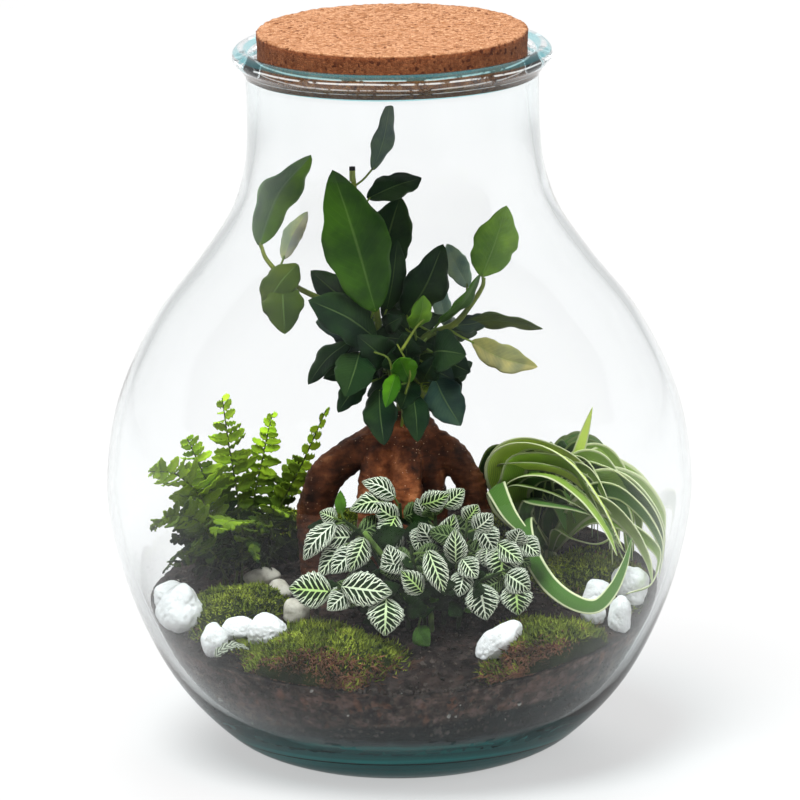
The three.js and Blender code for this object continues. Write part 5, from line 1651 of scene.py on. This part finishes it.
# Straps under the arch on the left: share from the upper left to the lower right, width, colour
INNER_STRAPS = [(0.05, 15, SPIDER_LIME), (0.30, 14, SPIDER_MID), (0.50, 10, SPIDER_GREEN),
                (0.75, 15, SPIDER_MID), (1.0, 11, SPIDER_GREEN)]


def strap(shape, path, width, roll, twist, colour, margin=0.5):
    """A strap leaf. Its cream margins are dim where margin is near 0."""
    def half(t):
        return width / 2 * (0.45 + 0.55 * smoothstep(t, 0, 0.3)) * (1 - 0.96 * t ** 3)

    def lift(across, t, half_width):
        return half_width * 0.30 * (np.abs(across) ** 1.5) * (1 - t)

    grid, places = blade_grid(stations(path, roll, 44, twist), half, 15, lift, margin)
    plate(shape, grid, 0.45, places, colour)


def arch(base, out, reach, high, steps):
    """Path from the base through steps of (share of the reach, share of the height)."""
    return [base] + [base + out * reach * far + UP * (high * up) for far, up in steps]


def spider_plant(material):
    shape = Shape()
    x, y = SPIDER_FOOT
    ground = ground_at(x, y)
    stem(shape, [[x, y, ground + h] for h in (1, 6, 11)], 4.6, 3, 8, HOLE_DEPTH, 14,
         (0.24, 0.28, 0.12))
    for (path, width, roll, twist), colour in zip(STRAPS, STRAP_COLOURS):
        strap(shape, path, width, roll, twist, colour)
    shape.build("spider_plant_fine", material, ["spider_plant"])


def spider_heart(material):
    """Leaves that fill the spider plant: short dark ones inside, painted as shaded, long ones over
    to the right.
    """
    chance = random.Random(12)
    shape = Shape()
    base = np.array([*SPIDER_FOOT, 91.0])
    for k in range(44):
        angle = k * 2.4 + 0.4
        out = np.array([math.cos(angle), math.sin(angle) * 0.8, 0])
        reach, high = chance.uniform(16, 40), chance.uniform(24, 50)
        path = arch(base, out, reach, high,
                    ((0.3, 0.7), (0.7, 1), (1.05, chance.uniform(0.4, 0.85))))
        strap(shape, path, chance.uniform(8, 13), chance.uniform(-15, 15), chance.uniform(-20, 20),
              chance.choice([SPIDER_GREEN, SPIDER_SHADED, SPIDER_SHADED]), 0)
    for share, width, colour in INNER_STRAPS:
        left, top = lerp(50, 60, share), lerp(143, 126, share)
        path = [[70, 20, 92], [left, lerp(14, -2, share), lerp(124, 112, share)],
                [left + 1, lerp(6, -10, share), top - 5], [left + 10, lerp(0, -18, share), top],
                [left + 24, lerp(-6, -26, share), top - 1],
                [left + 37, lerp(-12, -34, share), top - 10],
                [left + 47, lerp(-20, -40, share), top - 27]]
        path = [[c + chance.uniform(-4, 4) * (n > 1) for c in p] for n, p in enumerate(path)]
        strap(shape, path, width, chance.uniform(-25, 10), chance.uniform(-45, 25), colour, 0.12)
    for path in RIGHT_STRAPS:
        strap(shape, path, chance.uniform(13, 16), chance.uniform(-8, 8), chance.uniform(-12, 12),
              SPIDER_PALE)
    count = 26
    for k in range(count):
        share = k / (count - 1)
        out = unit(np.array([1, lerp(-0.95, 1.5, share), 0]))
        reach, high = chance.uniform(34, 46), chance.uniform(30, 47)
        path = arch(base, out, reach, high,
                    ((0.28, 0.85), (0.65, 1), (0.95, 0.62), (1.02, chance.uniform(-0.15, 0.15))))
        behind = share > 0.45
        widths = (10, 14) if behind else (8, 11)
        colours = [SPIDER_GREEN, SPIDER_MID, SPIDER_MID]
        strap(shape, path, chance.uniform(*widths), chance.uniform(-20, 20),
              chance.uniform(-15, 15), SPIDER_GREEN if behind else chance.choice(colours),
              0 if behind else 0.5)
    shape.build("spider_heart", material, [])


def fallen_leaf():
    spots = [(-90, -83, 5), (-84, -82, 8), (-78, -80.8, 8), (-72, -80.8, 5)]  # last: over the soil
    rows = stations([[x, y, ground_at(x, y) + over] for x, y, over in spots], -70, 20)

    def half(t):
        return 0.6 + 4.6 * nerve_outline(t)

    def lift(across, t, half_width):
        return half_width * 0.12 * np.cos(t * 30) * np.abs(across)

    grid, places = blade_grid(rows, half, 9, lift)
    shape = Shape()
    plate(shape, grid, 0.5, places, (1, 1, 1))
    shape.build("fallen_leaf_fine", fallen_material(), ["fallen_leaf"])


# ---- Assembly -----------------------------------------------------------------------------------
glass_jar()
cork_stopper()
drainage_gravel()
soil()
soil_crumbs()
stone_paints = {"white_stone": white_stone_material(), "grey_stone": grey_stone_material()}
for stone_row in STONES:
    stone(stone_row, stone_paints)
moss_paint = moss_material()
for cushion_row in CUSHIONS:
    moss(cushion_row, moss_paint)
for patch_row in MOSS_PATCHES:
    moss_patch(patch_row, moss_paint)
ficus_trunk()
ficus_paint = ficus_material()
ficus_shoot("ficus_shoot_left", LEFT_SHOOT, LEFT_TONES, ficus_paint)
ficus_shoot("ficus_shoot_right", RIGHT_SHOOT, RIGHT_TONES, ficus_paint)
ficus_shoot("ficus_shoot_front", FRONT_SHOOT, FRONT_TONES, ficus_paint)
ficus_inner_leaves(ficus_paint)
fern_paint = fern_material()
for number, frond_row in enumerate(FRONDS):
    fern_frond(number, frond_row, fern_paint)
fern_undergrowth(fern_paint)
nerve_paint = nerve_material()
for number, spray_row in enumerate(SPRAYS):
    nerve_spray(number, spray_row, nerve_paint)
nerve_undergrowth(nerve_paint)
spider_paint = spider_material()
spider_plant(spider_paint)
spider_heart(spider_paint)
fallen_leaf()


# ---- Stage, light and camera, in metres ---------------------------------------------------------
def floor():
    """Dim for what the glass mirrors in front, and brighter further back."""
    corners = [(-8, -8), (8, -8), (8, 8), (-8, 8)]
    mesh = bpy.data.meshes.new("floor")
    mesh.from_pydata([(x, y, -0.0003) for x, y in corners], [], [(0, 1, 2, 3)])
    piece = bpy.data.objects.new("floor", mesh)
    bpy.context.scene.collection.objects.link(piece)
    paint = Paint("floor", Roughness=0.9, Specular_IOR_Level=0.0, Base_Color=(0.30, 0.30, 0.30),
                  Emission_Color=(1, 1, 1))
    bounced = paint.value(paint.node("ShaderNodeLightPath").outputs["Glossy Depth"])
    _, back, _ = paint.parts(paint.where)
    bright = bounced.step(0.8, 0.2).larger(back.step(0.05, 0.30))
    paint.set("Emission Strength", bright * 0.34 + 0.16)
    mesh.materials.append(paint.material)


def area_light(name, place, aim, size, power):
    data = bpy.data.lights.new(name, "AREA")
    data.shape = "DISK"
    data.size = size
    data.energy = power
    lamp = bpy.data.objects.new(name, data)
    lamp.location = place
    lamp.visible_glossy = False
    lamp.visible_transmission = False
    lamp.rotation_euler = (Vector(aim) - Vector(place)).to_track_quat("-Z", "Y").to_euler()
    bpy.context.scene.collection.objects.link(lamp)


SKY_FILL = 0.50  # share of the white surroundings that lights matt surfaces


def studio_world():
    """White all round, also through the glass. It lights matt surfaces less than it shows, so that
    the lamps shape them, and what shiny surfaces mirror is darker towards the front."""
    world = bpy.data.worlds.new("studio")
    world.use_nodes = True
    tree = world.node_tree
    path = tree.nodes.new("ShaderNodeLightPath")
    singular = Value(tree, path.outputs["Is Singular Ray"])
    seen = Value(tree, path.outputs["Is Camera Ray"]).larger(singular)
    direct = Value(tree, path.outputs["Diffuse Depth"]).step(0.8, 0.2)
    white = tree.nodes["Background"]
    white.inputs["Color"].default_value = (1, 1, 1, 1)
    link(tree, white.inputs["Strength"], seen * (direct - SKY_FILL) + SKY_FILL)
    mirrored = tree.nodes.new("ShaderNodeBackground")
    where = tree.nodes.new("ShaderNodeTexCoord")
    split = tree.nodes.new("ShaderNodeSeparateXYZ")
    tree.links.new(where.outputs["Generated"], split.inputs[0])
    front = Value(tree, split.outputs[1])
    link(tree, mirrored.inputs["Strength"], front.step(-0.60, 0.10) * 0.9 + 0.06)
    bounced = Value(tree, path.outputs["Glossy Depth"]).step(0.2, 0.8)
    mix_shaders(tree, bounced.socket, white, mirrored, "World Output")
    bpy.context.scene.world = world


LENS = 385.2
SENSOR = 36
TILT = 0.95  # degrees that the photograph leans
SHIFT = 2 / 800  # two pixels of the photograph's 800


def camera():
    place, aim = Vector((0, -4.0, 1.149)), Vector((0, 0, 0.170))
    forward = (aim - place).normalized()
    right = Vector((1, 0, 0))
    up = right.cross(forward)
    roll = math.radians(TILT)
    across = right * math.cos(roll) - up * math.sin(roll)
    upward = right * math.sin(roll) + up * math.cos(roll)
    data = bpy.data.cameras.new("camera")
    data.sensor_width = SENSOR
    data.lens = LENS
    data.clip_end = 100
    data.shift_x = SHIFT
    data.shift_y = SHIFT
    view = bpy.data.objects.new("camera", data)
    turn = Matrix((across, upward, -forward)).transposed()
    view.matrix_world = Matrix.Translation(place) @ turn.to_4x4()
    bpy.context.scene.collection.objects.link(view)
    bpy.context.scene.camera = view


floor()
area_light("key", (-0.7, -1.0, 3.1), (0, 0, 0.15), 1.7, 130)
area_light("fill", (2.2, -1.8, 1.7), (0, 0, 0.15), 1.6, 26)
area_light("back", (0.4, 2.6, 2.4), (0, 0.6, 0.1), 2.2, 60)
studio_world()
bpy.context.scene.view_settings.view_transform = "Standard"
camera()
